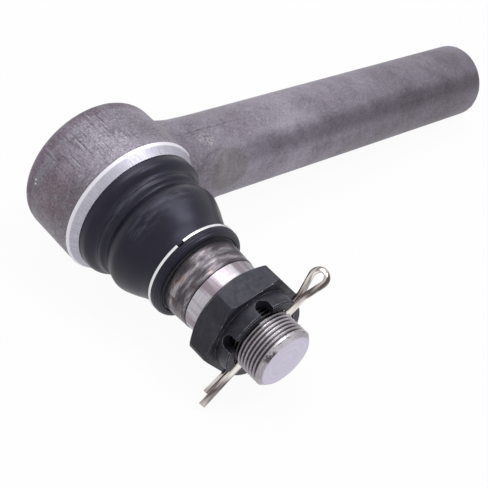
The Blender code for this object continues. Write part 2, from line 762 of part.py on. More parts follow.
def resting_up(pieces, guess):
    """The upward direction when the joint rests on the side nearest to the guess.

    It rests on a face of its convex hull that has the centre of mass above it.
    """
    bm = bmesh.new()
    for piece in pieces:
        for triangle in finished_triangles(piece):
            for point in triangle:
                bm.verts.new(point)
    bmesh.ops.remove_doubles(bm, verts=bm.verts, dist=0.001 * MM)
    bmesh.ops.convex_hull(bm, input=bm.verts)
    mass_centre = centre_of_mass(pieces)
    best = guess
    best_match = -1.0
    for face in bm.faces:
        a, b, c = (vertex.co for vertex in face.verts[:3])
        up = (b - a).cross(c - a).normalized()
        if up.dot(mass_centre - a) < 0.0:
            up.negate()
        sides = [(q - p).cross(mass_centre - p).dot(up) for p, q in ((a, b), (b, c), (c, a))]
        over_face = max(sides) < 0.0 or min(sides) > 0.0
        if over_face and up.dot(guess) > best_match:
            best = up.copy()
            best_match = up.dot(guess)
    bm.free()
    return best


def lie_down(frame, pieces):
    """Turn the stud's frame so that the joint lies on the ground, over the origin."""
    up = resting_up(pieces, Vector((0.0, 1.0, 0.0)))
    along = Vector((1.0, 0.0, 0.0))
    along = (along - along.dot(up) * up).normalized()
    turn = Matrix((along, up.cross(along), up))
    points = [
        turn @ point
        for piece in pieces
        for triangle in finished_triangles(piece)
        for point in triangle
    ]
    lows = Vector([min(point[axis] for point in points) for axis in range(3)])
    highs = Vector([max(point[axis] for point in points) for axis in range(3)])
    middle = (lows + highs) / 2
    shift = Vector((-middle.x, -middle.y, -lows.z))
    frame.matrix_world = Matrix.Translation(shift) @ turn.to_4x4()


def add_axis(name, parent=None):
    """An empty at the ball's centre, which every joint turns about."""
    axis = bpy.data.objects.new(name, None)
    axis.empty_display_size = 0.02
    bpy.context.collection.objects.link(axis)
    axis.parent = parent
    return axis


def main():
    for old in list(bpy.data.objects):
        bpy.data.objects.remove(old, do_unlink=True)
    eye_frame = add_axis("eye_frame")
    swing_about_rod = add_axis("swing_about_rod", eye_frame)
    swing_along_rod = add_axis("swing_along_rod", swing_about_rod)
    stud_turn = add_axis("stud_turn", swing_along_rod)
    add_forging(eye_frame)
    add_seats(eye_frame)
    add_spring(eye_frame)
    add_closing_ring(eye_frame)
    add_boot(eye_frame)
    add_liners(swing_about_rod)
    add_neck(swing_along_rod)
    add_stud(stud_turn)
    add_nut(stud_turn)
    add_pin(stud_turn)
    bpy.context.view_layer.update()
    pieces = [piece for piece in bpy.data.objects if "density" in piece]
    lie_down(eye_frame, pieces)


main()
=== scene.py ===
# %% [markdown]
# # A tie rod end, dressed for its picture
# A tie rod end joins a lorry's steering rod to a steering arm. A forged eye on the rod holds a
# ball, and the ball's stud comes out through a rubber boot. A slotted nut and a split pin would
# hold the stud's cone in the arm.
#
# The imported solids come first. They are exact but plain, and they have few faces. Each piece
# that shows gets a finer mesh that stands in for its solid, and each finish is built from
# nodes. The hidden pieces of the bearing keep their solids and get a finish too.

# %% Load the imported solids
import json
import math

import bmesh
import bpy
import numpy as np
from mathutils import Matrix, Vector


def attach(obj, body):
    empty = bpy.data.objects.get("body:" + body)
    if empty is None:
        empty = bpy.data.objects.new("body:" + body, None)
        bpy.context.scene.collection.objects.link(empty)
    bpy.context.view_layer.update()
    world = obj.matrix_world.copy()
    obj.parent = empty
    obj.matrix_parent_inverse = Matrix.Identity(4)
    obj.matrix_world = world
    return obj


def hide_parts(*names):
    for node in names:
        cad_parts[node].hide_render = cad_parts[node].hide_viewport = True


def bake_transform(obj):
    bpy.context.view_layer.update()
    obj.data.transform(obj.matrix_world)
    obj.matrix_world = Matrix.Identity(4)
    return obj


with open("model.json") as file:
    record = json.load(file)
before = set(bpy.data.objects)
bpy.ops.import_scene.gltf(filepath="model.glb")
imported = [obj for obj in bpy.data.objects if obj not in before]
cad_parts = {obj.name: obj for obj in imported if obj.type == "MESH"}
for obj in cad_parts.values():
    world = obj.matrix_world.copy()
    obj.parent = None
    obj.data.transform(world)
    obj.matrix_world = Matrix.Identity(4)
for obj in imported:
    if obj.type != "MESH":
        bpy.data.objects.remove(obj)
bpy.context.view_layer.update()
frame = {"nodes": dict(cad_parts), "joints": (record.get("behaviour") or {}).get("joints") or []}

MM = 0.001
nodes = frame["nodes"]

# %% [markdown]
# ## The bench frame
# The joint lies tilted on the table, which is awkward to model in. A maker would clamp it with
# the stud upright, so every piece here is drawn that way: the ball's centre is the origin, z
# runs along the stud to its thread, x runs along the rod, and y is the side that lies on top.
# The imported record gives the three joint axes, and those are the three axes of this bench.
# A piece is drawn in millimetres on the bench, and its mesh is moved to the table by the bench's
# matrix. The object itself stays at the origin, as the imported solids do.

# %% Build the bench frame from the joints
joints = {joint["name"]: joint for joint in frame["joints"]}
ball_centre = Vector(joints["swing_about_rod"]["pos_m"])
along_rod = Vector(joints["swing_about_rod"]["axis"]).normalized()
upward = Vector(joints["swing_along_rod"]["axis"]).normalized()
along_stud = Vector(joints["stud_turn"]["axis"]).normalized()
bench = Matrix((along_rod, upward, along_stud)).transposed().to_4x4()
bench.translation = ball_centre


def on_table(point):
    """A point given on the bench in millimetres, where it lies on the table in metres."""
    return bench @ (Vector(point) * MM)


print("stud end on the table:", [round(v, 4) for v in on_table((0, 0, 100))])

# %% [markdown]
# ## The camera
# The photograph was taken with a long lens from above and in front of the nut. The camera's
# place was found by fitting known shapes, such as the eye's rim, the nut's hexagon and the
# rod's two edges, so the camera is written on the bench too. A long lens keeps the far rod end
# nearly as large as the near one.

# %% Place the camera
PICTURE_WIDTH = 488
FOCAL_PIXELS = 1075.7
camera_data = bpy.data.cameras.new("camera")
camera_data.sensor_width = 36.0
camera_data.lens = 36.0 * FOCAL_PIXELS / PICTURE_WIDTH
camera_data.clip_end = 10.0
camera = bpy.data.objects.new("camera", camera_data)
bpy.context.scene.collection.objects.link(camera)
bpy.context.scene.camera = camera

looking = Vector((0.637, -0.620, -0.459)).normalized()
picture_up = Vector((0.2783, 0.7396, -0.6128))
picture_right = looking.cross(picture_up).normalized()
picture_up = picture_right.cross(looking)
view = Matrix((picture_right, picture_up, -looking)).transposed().to_4x4()
view.translation = Vector((-228.2, 248.3, 232.9)) * MM
camera.matrix_world = bench @ view
print("lens:", round(camera_data.lens, 2), "mm")

# %% [markdown]
# ## The floor and the light
# The photograph is a catalogue picture: a white ground, hardly any shadow, and one broad lamp
# overhead, so that upper sides are light and the sides that face the camera are darker. White
# behind the object comes from what the camera and the reflections see, and not from more light
# on the object. The floor is real paper for the light and partly glows for the camera, so it
# keeps a faint shadow. It is a big disc, so no corner of it shows.

# %% Small tools for nodes
def finish_named(name):
    made = bpy.data.materials.new(name)
    made.use_nodes = True
    print("finish:", name)
    return made, made.node_tree.nodes["Principled BSDF"]


def feed(value, socket):
    """Link an output to a socket, or write a plain value into it."""
    if isinstance(value, bpy.types.NodeSocket):
        socket.id_data.links.new(value, socket)
    else:
        socket.default_value = value


def wire(node, **wiring):
    """Set a node up. A small letter starts a setting, and a capital a socket's name."""
    for name, value in wiring.items():
        if name[0].islower():
            setattr(node, name, value)
        else:
            feed(value, node.inputs[name.replace("_", " ")])
    return node


def put(near, kind, **wiring):
    """Add a node to the tree that another node or socket is in."""
    return wire(near.id_data.nodes.new("ShaderNode" + kind), **wiring)


def maths(operation, *values):
    near = next(value for value in values if isinstance(value, bpy.types.NodeSocket))
    node = put(near, "Math", operation=operation)
    for socket, value in zip(node.inputs, values):
        feed(value, socket)
    return node.outputs["Value"]


def background_rays(near):
    """One for rays that find a white ground: the camera's, and those off metal or glass."""
    rays = put(near, "LightPath")
    first = maths("MAXIMUM", rays.outputs["Is Camera Ray"], rays.outputs["Is Glossy Ray"])
    return maths("MAXIMUM", first, rays.outputs["Is Transmission Ray"])


# %% Lay the floor
FLOOR_GLOW = 0.95
pale_floor, shader = finish_named("pale_floor")
wire(shader, Base_Color=(0.90, 0.90, 0.91, 1.0), Roughness=0.9)
glow = put(shader, "Emission", Strength=1.0)
share = maths("MULTIPLY", background_rays(shader), FLOOR_GLOW)
paper = put(shader, "MixShader", Fac=share)
feed(shader.outputs["BSDF"], paper.inputs[1])
feed(glow.outputs["Emission"], paper.inputs[2])
output = pale_floor.node_tree.nodes["Material Output"]
wire(output, Surface=paper.outputs["Shader"])
bpy.ops.mesh.primitive_circle_add(vertices=96, radius=3.0, fill_type="NGON")
floor = bpy.context.object
floor.name = "floor"
floor.data.materials.append(pale_floor)
print("floor glow:", FLOOR_GLOW)

# %% Hang the lamps
def soft_lamp(name, place, aim, size, power):
    data = bpy.data.lights.new(name, "AREA")
    data.shape = "RECTANGLE"
    data.size, data.size_y = size
    data.energy = power
    lamp = bpy.data.objects.new(name, data)
    bpy.context.scene.collection.objects.link(lamp)
    direction = Vector(aim) - Vector(place)
    lamp.matrix_world = (
        Matrix.Translation(place) @ direction.to_track_quat("-Z", "Y").to_matrix().to_4x4()
    )
    print(name, power, "W")


soft_lamp("overhead_lamp", (-0.05, 0.30, 1.2), (0, 0, 0), (0.9, 0.7), 7.5)
soft_lamp("front_lamp", (0.25, -0.38, 0.95), (0, 0, 0.02), (0.45, 0.3), 3.8)

# %% Set the white ground beyond the floor
WORLD_LIGHT = 0.22
world = bpy.data.worlds.new("studio")
bpy.context.scene.world = world
world.use_nodes = True
backdrop = world.node_tree.nodes["Background"]
wire(backdrop, Color=(1.0, 1.0, 1.0, 1.0), Strength=WORLD_LIGHT)
white = put(backdrop, "Background", Color=(1.0, 1.0, 1.0, 1.0), Strength=1.0)
choose = put(backdrop, "MixShader", Fac=background_rays(backdrop))
feed(backdrop.outputs["Background"], choose.inputs[1])
feed(white.outputs["Background"], choose.inputs[2])
wire(world.node_tree.nodes["World Output"], Surface=choose.outputs["Shader"])
bpy.context.scene.view_settings.view_transform = "Standard"
print("world light:", WORLD_LIGHT)

# %% [markdown]
# ## Finishes
# Every finish is made from nodes that work in the bench frame. The Mapping node undoes the
# bench's matrix, so a finish knows where it is along the stud, and turning marks can run
# round the stud's axis wherever the joint lies.

# %% Read a place on the bench
back_to_bench = bench.inverted()


def bench_place(near):
    """The bench place of a point, in metres: x along the rod, z along the stud."""
    here = put(near, "TexCoord")
    back = put(
        near, "Mapping", Vector=here.outputs["Object"], Location=back_to_bench.translation,
        Rotation=back_to_bench.to_euler(),
    )
    return back.outputs["Vector"]


# %% Noise, colours and relief
def noise(place, size, detail=4.0, roughness=0.55, distortion=0.0):
    """Noise whose lumps are about this many millimetres across."""
    node = put(
        place, "TexNoise", Vector=place, Scale=1.0 / (size * MM), Detail=detail,
        Roughness=roughness, Distortion=distortion,
    )
    return node.outputs["Fac"]


def ramp(value, *stops):
    """Colours or greys along a value. A stop is a place and a colour."""
    node = put(value, "ValToRGB", Fac=value)
    stripe = node.color_ramp.elements
    while len(stripe) < len(stops):
        stripe.new(0.5)
    for element, (position, colour) in zip(stripe, stops):
        element.position = position
        shade = (colour,) * 3 if isinstance(colour, (int, float)) else colour
        element.color = (*shade, 1.0)
    return node.outputs["Color"]


def mixed(share, first, second, how="MIX"):
    """Mix two colours. The Mix node has them at its sockets 6 and 7, and the result at 2."""
    node = put(share, "Mix", data_type="RGBA", blend_type=how)
    for socket, value in ((0, share), (6, first), (7, second)):
        feed((*value, 1.0) if isinstance(value, tuple) else value, node.inputs[socket])
    return node.outputs[2]


def bumped(shader, height, distance, strength=1.0, under=None):
    """Raise the surface by a height, in millimetres at full height."""
    node = put(shader, "Bump", Height=height, Distance=distance * MM, Strength=strength)
    if under:
        wire(node, Normal=under)
    wire(shader, Normal=node.outputs["Normal"])
    return node.outputs["Normal"]


# %% Measure a place round the stud
def axes_of(place):
    split = put(place, "SeparateXYZ", Vector=place)
    return split.outputs["X"], split.outputs["Y"], split.outputs["Z"]


def round_the_stud(place):
    """How far a place is from the stud's axis, and its turn about it."""
    x, y, z = axes_of(place)
    squares = maths("ADD", maths("MULTIPLY", x, x), maths("MULTIPLY", y, y))
    return maths("SQRT", squares), maths("ARCTAN2", y, x), z


def drawn_out(first, second, third, detail=3.0, roughness=0.6, distortion=0.0):
    """Noise over three values, each a pair of a socket and how fast the noise changes along it."""
    parts = [maths("MULTIPLY", value, rate) for value, rate in (first, second, third)]
    joined = put(parts[0], "CombineXYZ", X=parts[0], Y=parts[1], Z=parts[2]).outputs["Vector"]
    return noise(joined, 1.0 / MM, detail, roughness, distortion)


# %% Masks, and how they lay a colour
def graded(value, start, end, low=0.0, high=1.0):
    """The low number up to start, the high one past end, and an even change between."""
    node = put(
        value, "MapRange", Value=value, From_Min=start, From_Max=end, To_Min=low, To_Max=high
    )
    return node.outputs["Result"]


def between(value, start, end, edge):
    """One from start to end, and nothing further than the edge's width outside them."""
    rise = graded(value, start - edge, start)
    fall = graded(value, end, end + edge, 1.0, 0.0)
    return maths("MULTIPLY", rise, fall)


def spot(place, centre, reach, solid=0.3):
    """One in an ellipsoid on the bench, in millimetres, fading to nothing at its edge."""
    moved = put(
        place, "Mapping", vector_type="TEXTURE", Vector=place, Location=Vector(centre) * MM,
        Scale=Vector(reach) * MM,
    )
    far = put(place, "VectorMath", operation="LENGTH", Vector=moved.outputs["Vector"])
    return graded(far.outputs["Value"], solid, 1.0, 1.0, 0.0)


def both(*masks):
    product = masks[0]
    for mask in masks[1:]:
        product = maths("MULTIPLY", product, mask)
    return product


def tinted(tone, colour, *masks):
    """Multiply the tone by a colour where all the masks are one."""
    return mixed(both(*masks), tone, colour, "MULTIPLY")


def covered(tone, colour, *masks):
    """Lay a colour over the tone where all the masks are one."""
    return mixed(both(*masks), tone, colour)


# %% [markdown]
# ### Forge scale
# Hot steel leaves the dies with a thin grey skin of scale, and steel shot then blasts it. What
# is left is a mauve-grey that is neither paint nor bare metal: dull, mottled over centimetres,
# and speckled by the shot. The marks of its making lie on top. Each is a mask times a noise:
# a mask says where on the bench it is, and a noise breaks it up. A mark either tints the tone
# below it or covers it.
#
# * The left of the eye is redder, where the scale was thicker.
# * Trimming the flash dragged metal along the stud's direction, which left scratches.
# * The dies met in a plane along the rod, which left a broken line on either side of its root.
# * Painted light and shade lie on it too: a darker left side of the eye, shade at the rod's
#   root and on the barrel's top beside it, a lighter top of the eye, a darker far end of the
#   rod with a dark streak along its front, and a line of shade along the root's crease.

# %% Mix the scale itself
forged_scale, shader = finish_named("forged_scale")
place = bench_place(shader)
x, y, z = axes_of(place)
radius, turn, z = round_the_stud(place)
clouds = noise(place, 26.0, 6.0, 0.62)
smudges = noise(place, 6.0, 4.0, 0.6)
grain = noise(place, 0.9, 4.0, 0.7)
pits = noise(place, 0.45, 2.0, 0.5)
tone = ramp(
    clouds, (0.32, (0.185, 0.161, 0.197)), (0.50, (0.262, 0.236, 0.287)),
    (0.68, (0.345, 0.315, 0.380)),
)
tone = tinted(tone, (0.78, 0.76, 0.78), ramp(smudges, (0.34, 0.8), (0.52, 0.0)))
rough_eye = graded(x, 0.015, 0.045, 1.0, 0.55)
dark_grain = ramp(grain, (0.36, 0.9), (0.50, 0.0))
light_grain = ramp(grain, (0.55, 0.0), (0.70, 0.6))
tone = tinted(tone, (0.60, 0.58, 0.60), dark_grain, rough_eye)
tone = covered(tone, (0.54, 0.52, 0.57), light_grain, rough_eye)

# %% Paint shade on the eye's left and the rod's root, redden the left, darken the back cone
# Painted shade: the eye's left side is darkened.
painted_shade_left = spot(place, (-31.0, 10.0, 0.0), (14.0, 20.0, 22.0), 0.2)
tone = tinted(tone, (0.62, 0.58, 0.61), painted_shade_left, 0.55)
red_side = spot(place, (-25.0, 2.0, 2.0), (17.0, 26.0, 21.0), 0.2)
patchy = ramp(noise(place, 8.0, 4.0, 0.6), (0.40, 0.0), (0.62, 1.0))
tone = tinted(tone, (0.80, 0.62, 0.62), red_side, patchy)
back_cone = between(z, -0.0260, -0.0088, 0.0012)
beside_rod = between(x, -0.040, 0.016, 0.014)
tone = tinted(tone, (0.70, 0.62, 0.67), back_cone, beside_rod, 0.8)
# Painted shade at the rod's root, where it meets the barrel.
root_shade = spot(place, (25.0, 21.0, 6.0), (21.0, 14.0, 22.0), 0.2)
tone = tinted(tone, (0.60, 0.59, 0.61), root_shade, 0.9)

# %% Lay flecks and chips on it, with a painted highlight and painted shade on top
struck = spot(place, (37.0, 16.0, 8.0), (5.5, 5.5, 5.0), 0.5)
flecks = ramp(noise(place, 0.8, 3.0, 0.7), (0.46, 0.0), (0.62, 0.75))
tone = covered(tone, (0.50, 0.48, 0.52), struck, flecks)
# A painted highlight: the top of the eye is lightened.
painted_light_top = spot(place, (-20.0, 21.0, 8.0), (12.0, 11.0, 13.0), 0.2)
tone = tinted(tone, (1.2, 1.2, 1.2), painted_light_top)
# Painted shade on top of the barrel beside the rod's root.
painted_shade_top = spot(place, (8.0, 27.0, 7.0), (13.0, 9.0, 13.0), 0.2)
tone = tinted(tone, (0.66, 0.66, 0.66), painted_shade_top)
for chip in ((-28.6, 5.3, -7.7), (-28.8, 3.9, -7.2)):
    tone = covered(tone, (0.85, 0.84, 0.86), spot(place, chip, (0.55, 0.55, 0.55)))
stain = spot(place, (46.0, 6.0, 17.5), (11.0, 10.0, 9.0), 0.86)
tone = tinted(tone, (0.74, 0.74, 0.67), stain, 0.9)

# %% Paint shade on the rod's far end and a dark streak along its front
# The rod is painted darker towards its far end. A long streak of painted shade, a dark
# reflection, runs along the rod's front. It starts past the root and stops before the cut.
painted_shade_far_end = graded(x, 0.090, 0.165, 0.0, 0.75)
about_rod = maths("ARCTAN2", y, z)
bend = graded(x, 0.035, 0.056, -0.20, 0.0)
wave = maths("MULTIPLY", maths("SUBTRACT", clouds, 0.5), 0.4)
wavy = maths("ADD", maths("ADD", about_rod, bend), wave)
painted_dark_streak = both(
    between(wavy, 0.50, 0.72, 0.24), between(x, 0.034, 0.215, 0.0015), graded(x, 0.046, 0.066)
)

# %% Scratch and gouge it
drag = drawn_out((turn, 85.0), (z, 55.0), (radius, 40.0), 2.0)
dragged = both(between(turn, 1.65, 2.62, 0.10), between(z, -0.009, 0.007, 0.004))
dark_lines = both(ramp(drag, (0.62, 0.0), (0.68, 1.0)), dragged)
light_lines = both(ramp(drag, (0.33, 1.0), (0.39, 0.0)), dragged)
tone = covered(tone, (0.58, 0.56, 0.59), light_lines, 0.35)
tone = tinted(tone, (0.35, 0.32, 0.34), dark_lines, 0.5)


def gouge(at, start, end):
    """One straight scratch along the stud, at a turn about it."""
    return both(between(turn, at, at + 0.006, 0.003), between(z, start, end, 0.001))


for dark in (
    (2.20, -0.0018, 0.0056), (2.25, -0.0005, 0.0030), (2.39, 0.0, 0.0056), (2.47, -0.0029, 0.0045)
):
    tone = tinted(tone, (0.30, 0.27, 0.29), gouge(*dark), 0.8)
for light in ((2.22, -0.0030, 0.0020), (2.41, 0.0020, 0.0060)):
    tone = covered(tone, (0.62, 0.60, 0.63), gouge(*light), 0.5)

# %% Mark the dies' parting, and paint a line of shade along the root's crease
wander = maths("MULTIPLY", maths("SUBTRACT", smudges, 0.5), 0.0012)
parting = between(maths("ADD", z, wander), 0.0026, 0.0028, 0.0003)
past_root = between(x, 0.034, 0.052, 0.010)
broken_line = ramp(noise(place, 3.0, 2.0), (0.40, 0.1), (0.55, 1.0))
# Painted shade: a broken dark line along the crease of the root's shoulder.
sloping = maths("ADD", z, maths("MULTIPLY", x, 0.30))
painted_crease_shade = both(
    between(sloping, 0.0246, 0.0249, 0.0005), between(x, 0.033, 0.040, 0.004),
    between(y, 0.0, 0.030, 0.002), broken_line, 0.6,
)
# The real parting line and the painted crease shade, together.
parting_and_crease_shade = maths("MAXIMUM", both(parting, past_root, broken_line), painted_crease_shade)
tone = tinted(tone, (0.25, 0.23, 0.24), parting_and_crease_shade, 0.9)
# Painted shade on the rod's far end and in a dark streak along its front.
tone = tinted(tone, (0.60, 0.58, 0.60), painted_shade_far_end)
tone = tinted(tone, (0.60, 0.59, 0.61), painted_dark_streak)

# %% Give it its gloss and relief
gloss = ramp(grain, (0.3, 0.56), (0.7, 0.42))
wire(shader, Base_Color=tone, Metallic=0.35, Specular_IOR_Level=0.4, Roughness=gloss)
dents = bumped(shader, clouds, 0.35, 0.5)
blasted = bumped(shader, pits, 0.06, 0.7, under=dents)
cut_in = maths("ADD", dark_lines, parting_and_crease_shade)
bumped(shader, maths("SUBTRACT", 1.0, cut_in), 0.15, 0.8, under=blasted)

# %% [markdown]
# ### Turned steel
# The lathe leaves fine rings round the axis. Noise that changes fast along the radius and the
# height, and slowly along the turn, gives such rings without a picture of them. The eye's rim
# is different: it was brushed outwards, so its marks are short and cross the rim.

# %% Mix the turned steels
def turned_steel(name, colour, dark, roughness, fineness=2500.0, depth=0.01, around=0.35):
    """Two greys along the tool's lines, with blotches of the darker one over them."""
    made, shader = finish_named(name)
    place = bench_place(shader)
    radius, turn, z = round_the_stud(place)
    lines = drawn_out((radius, fineness), (z, fineness), (turn, around))
    tone = mixed(ramp(lines, (0.35, 0.0), (0.68, 1.0)), dark, colour)
    blotches = noise(place, 5.0, 3.0)
    tone = covered(tone, dark, ramp(blotches, (0.35, 0.35), (0.65, 0.0)))
    gloss = ramp(lines, (0.3, roughness + 0.12), (0.7, roughness))
    wire(shader, Base_Color=tone, Metallic=0.85, Roughness=gloss)
    bumped(shader, lines, depth, 0.6)
    return made, shader, tone, place


clamp_zinc = turned_steel("clamp_zinc", (0.90, 0.90, 0.93), (0.66, 0.66, 0.70), 0.22)[0]
inner_steel = turned_steel("inner_steel", (0.46, 0.46, 0.48), (0.28, 0.28, 0.30), 0.35)[0]
end_face = turned_steel("end_face", (0.66, 0.63, 0.74), (0.58, 0.55, 0.65), 0.5, 1500.0, 0.02)[0]

# %% Brush the eye's rim, and paint a highlight along its edge
turned_rim, shader, tone, place = turned_steel(
    "turned_rim", (0.53, 0.52, 0.59), (0.37, 0.36, 0.42), 0.44, 420.0, 0.02, around=110.0
)
x, y, z = axes_of(place)
# A painted highlight: a lighter band along the rim's outer edge.
tone = covered(tone, (0.74, 0.72, 0.78), between(z, 0.0142, 0.0152, 0.0004))
wire(shader, Base_Color=tone)

# %% Polish the ground band
# Painted dark reflections lie on it in long bands along the stud, one beside the other round it.
ground_band, shader, tone, place = turned_steel(
    "ground_band", (0.57, 0.54, 0.59), (0.40, 0.38, 0.42), 0.32, 3500.0
)
radius, turn, z = round_the_stud(place)
reflection_bands = drawn_out((turn, 3.2), (z, 20.0), (radius, 0.0), 3.0, 0.7)
painted_dark_reflections = ramp(reflection_bands, (0.42, 0.9), (0.56, 0.0))
# Painted dark reflections, in bands along the stud.
tone = covered(tone, (0.25, 0.20, 0.23), painted_dark_reflections)
wire(shader, Base_Color=tone)

# %% Paint shade into the thread's grooves
# Painted shade fills the grooves up to the chamfer and darkens the sides away from the top, a
# painted dark reflection lies on the chamfer, and the turns inside the nut and just above it
# are made nearly black.
bright_thread, shader, tone, place = turned_steel(
    "bright_thread", (0.66, 0.64, 0.68), (0.40, 0.38, 0.42), 0.26
)
radius, turn, z = round_the_stud(place)
# Painted shade in the grooves.
painted_groove_shade = graded(radius, 0.0112, 0.0117, 1.0, 0.0)
below_chamfer = graded(z, 0.0988, 0.0992, 1.0, 0.0)
tone = covered(tone, (0.11, 0.095, 0.10), painted_groove_shade, below_chamfer)
# Painted shade on the sides away from the top.
painted_side_shade = maths("SUBTRACT", 1.0, between(turn, 1.70, 2.25, 0.40))
tone = tinted(tone, (0.60, 0.56, 0.59), painted_side_shade, 0.7)
specks = noise(place, 1.6, 4.0, 0.65)
# A painted dark reflection on the chamfer, broken by specks.
painted_chamfer_reflection = both(between(turn, 2.40, 2.70, 0.14), between(z, 0.0992, 0.1020, 0.0002))
tone = covered(tone, (0.09, 0.075, 0.085), painted_chamfer_reflection, ramp(specks, (0.40, 0.0), (0.50, 1.0)))
tone = covered(tone, (0.16, 0.13, 0.13), ramp(specks, (0.58, 0.0), (0.66, 0.85)))
# Nearly black inside the nut and just above it.
tone = covered(tone, (0.02, 0.018, 0.02), graded(z, 0.0890, 0.0905, 0.93, 0.0))
wire(shader, Base_Color=tone)

# %% [markdown]
# ### Oiled steel
# The stud's cone is smooth but not clean. Oil and forge colour lie on it in patches that the
# last cloth wiped round the stud, so it is bright in wisps and brown and dark elsewhere.

# %% Mix the oiled steel
oiled_steel, shader = finish_named("oiled_steel")
place = bench_place(shader)
radius, turn, z = round_the_stud(place)
wisps = drawn_out((radius, 200.0), (z, 430.0), (turn, 1.5), 10.0, 0.70, 0.25)
stains = noise(place, 5.0, 4.0, 0.6)
tone = ramp(
    wisps, (0.36, (0.045, 0.038, 0.044)), (0.47, (0.085, 0.075, 0.090)),
    (0.54, (0.150, 0.135, 0.150)), (0.62, (0.340, 0.310, 0.330)),
)
tone = tinted(tone, (1.0, 0.80, 0.70), ramp(stains, (0.50, 0.0), (0.66, 0.8)))
# Darker in a patch on one side, just past the step at 66 mm.
darker_side_patch = both(between(z, 0.0662, 0.0700, 0.0002), between(turn, 2.6, 3.2, 0.2))
tone = covered(tone, (0.12, 0.11, 0.12), darker_side_patch, 0.5)
tone = covered(tone, (0.03, 0.028, 0.03), between(z, 0.0659, 0.0663, 0.0002))
gloss = ramp(wisps, (0.35, 0.42), (0.7, 0.24))
wire(shader, Base_Color=tone, Metallic=0.85, Roughness=gloss)
bumped(shader, wisps, 0.03, 0.5)

# %% [markdown]
# ### Phosphate, zinc and rubber
# The nut is dipped in phosphate, which grows a dull blue-black skin that soon wears off its
# edges. The pin is bright drawn wire with a thin yellowish zinc. The boot is black rubber with
# a bloom of wax that turns broad surfaces a little blue.

# %% Mix the nut's phosphate
nut_phosphate, shader = finish_named("nut_phosphate")
place = bench_place(shader)
dapple = noise(place, 1.6, 5.0, 0.7)
dust = noise(place, 9.0, 3.0)
tone = ramp(dapple, (0.32, (0.010, 0.010, 0.015)), (0.68, (0.030, 0.029, 0.041)))
tone = covered(tone, (0.075, 0.072, 0.086), ramp(dust, (0.52, 0.0), (0.75, 0.5)))
wire(
    shader, Base_Color=tone, Specular_IOR_Level=0.30,
    Specular_Tint=(0.86, 0.86, 1.0, 1.0), Roughness=ramp(dapple, (0.3, 0.52), (0.7, 0.36)),
)
bumped(shader, noise(place, 0.5, 2.0), 0.03, 0.5)

# %% Wear its edges
worn_edge, shader = finish_named("worn_edge")
rubbed = noise(bench_place(shader), 2.4, 4.0, 0.65)
tone = ramp(
    rubbed, (0.36, (0.03, 0.03, 0.04)), (0.50, (0.26, 0.25, 0.28)), (0.66, (0.62, 0.60, 0.64))
)
bare = ramp(rubbed, (0.42, 0.0), (0.60, 0.8))
wire(shader, Base_Color=tone, Metallic=bare, Roughness=0.34)

# %% Mix the pin's zinc
PIN_TURN = math.radians(46.0)
pin_zinc, shader = finish_named("pin_zinc")
lying = put(shader, "Mapping", Vector=bench_place(shader), Rotation=(0.0, 0.0, -PIN_TURN))
along_pin, across_pin, above_pin = axes_of(lying.outputs["Vector"])
drawn = drawn_out((along_pin, 70.0), (across_pin, 560.0), (above_pin, 560.0), 3.0, 0.5)
tone = ramp(
    drawn, (0.37, (0.10, 0.080, 0.075)), (0.46, (0.31, 0.275, 0.27)),
    (0.54, (0.58, 0.54, 0.51)), (0.64, (0.88, 0.85, 0.80)),
)
gloss = ramp(drawn, (0.3, 0.26), (0.7, 0.14))
wire(shader, Base_Color=tone, Metallic=0.9, Roughness=gloss)
bumped(shader, drawn, 0.04, 0.4)

# %% Mix the rubber
# The bloom is rubbed lighter in streaks round the upper lobe, with a painted highlight there,
# and a painted highlight lies in streaks along the small ridge.
boot_rubber, shader = finish_named("boot_rubber")
place = bench_place(shader)
radius, turn, z = round_the_stud(place)
bloom = noise(place, 14.0, 5.0, 0.62)
lobe_streaks = drawn_out((z, 700.0), (turn, 3.0), (radius, 0.0))
lobe_rubbing_and_highlight = both(
    between(z, 0.0345, 0.0385, 0.003), between(turn, 1.6, 2.5, 0.3),
    ramp(lobe_streaks, (0.45, 0.0), (0.7, 1.0)),
)
ridge_streaks = drawn_out((z, 500.0), (turn, 2.0), (radius, 0.0))
painted_ridge_highlight = both(
    between(z, 0.0252, 0.0268, 0.0016), between(turn, 2.0, 2.6, 0.35),
    ramp(ridge_streaks, (0.35, 0.0), (0.6, 1.0)),
)
tone = ramp(bloom, (0.35, (0.0045, 0.0042, 0.0085)), (0.7, (0.0115, 0.0108, 0.0205)))
scuffs = ramp(noise(place, 1.0, 5.0, 0.75, 1.5), (0.70, 0.0), (0.76, 0.5))
tone = covered(tone, (0.10, 0.10, 0.12), scuffs)
# Rubbed streaks and a painted highlight on the lobe, a painted highlight on the ridge.
tone = covered(tone, (0.085, 0.085, 0.11), maths("MAXIMUM", lobe_rubbing_and_highlight, painted_ridge_highlight), 0.7)
wire(
    shader, Base_Color=tone, Specular_IOR_Level=0.36,
    Specular_Tint=(0.78, 0.76, 1.0, 1.0), Roughness=ramp(bloom, (0.35, 0.31), (0.7, 0.43)),
)
bumped(shader, noise(place, 0.6, 2.0), 0.02, 0.4)

# %% Mix the hidden plastics
def moulded(name, colour, roughness):
    made, shader = finish_named(name)
    grain = noise(bench_place(shader), 1.5, 3.0)
    tone = ramp(grain, (0.3, tuple(0.85 * c for c in colour)), (0.7, colour))
    wire(shader, Base_Color=tone, Roughness=roughness)
    bumped(shader, grain, 0.02, 0.4)
    return made


dark_plastic = moulded("dark_plastic", (0.15, 0.16, 0.18), 0.45)
pale_plastic = moulded("pale_plastic", (0.80, 0.78, 0.70), 0.4)
print("finishes:", len(bpy.data.materials))

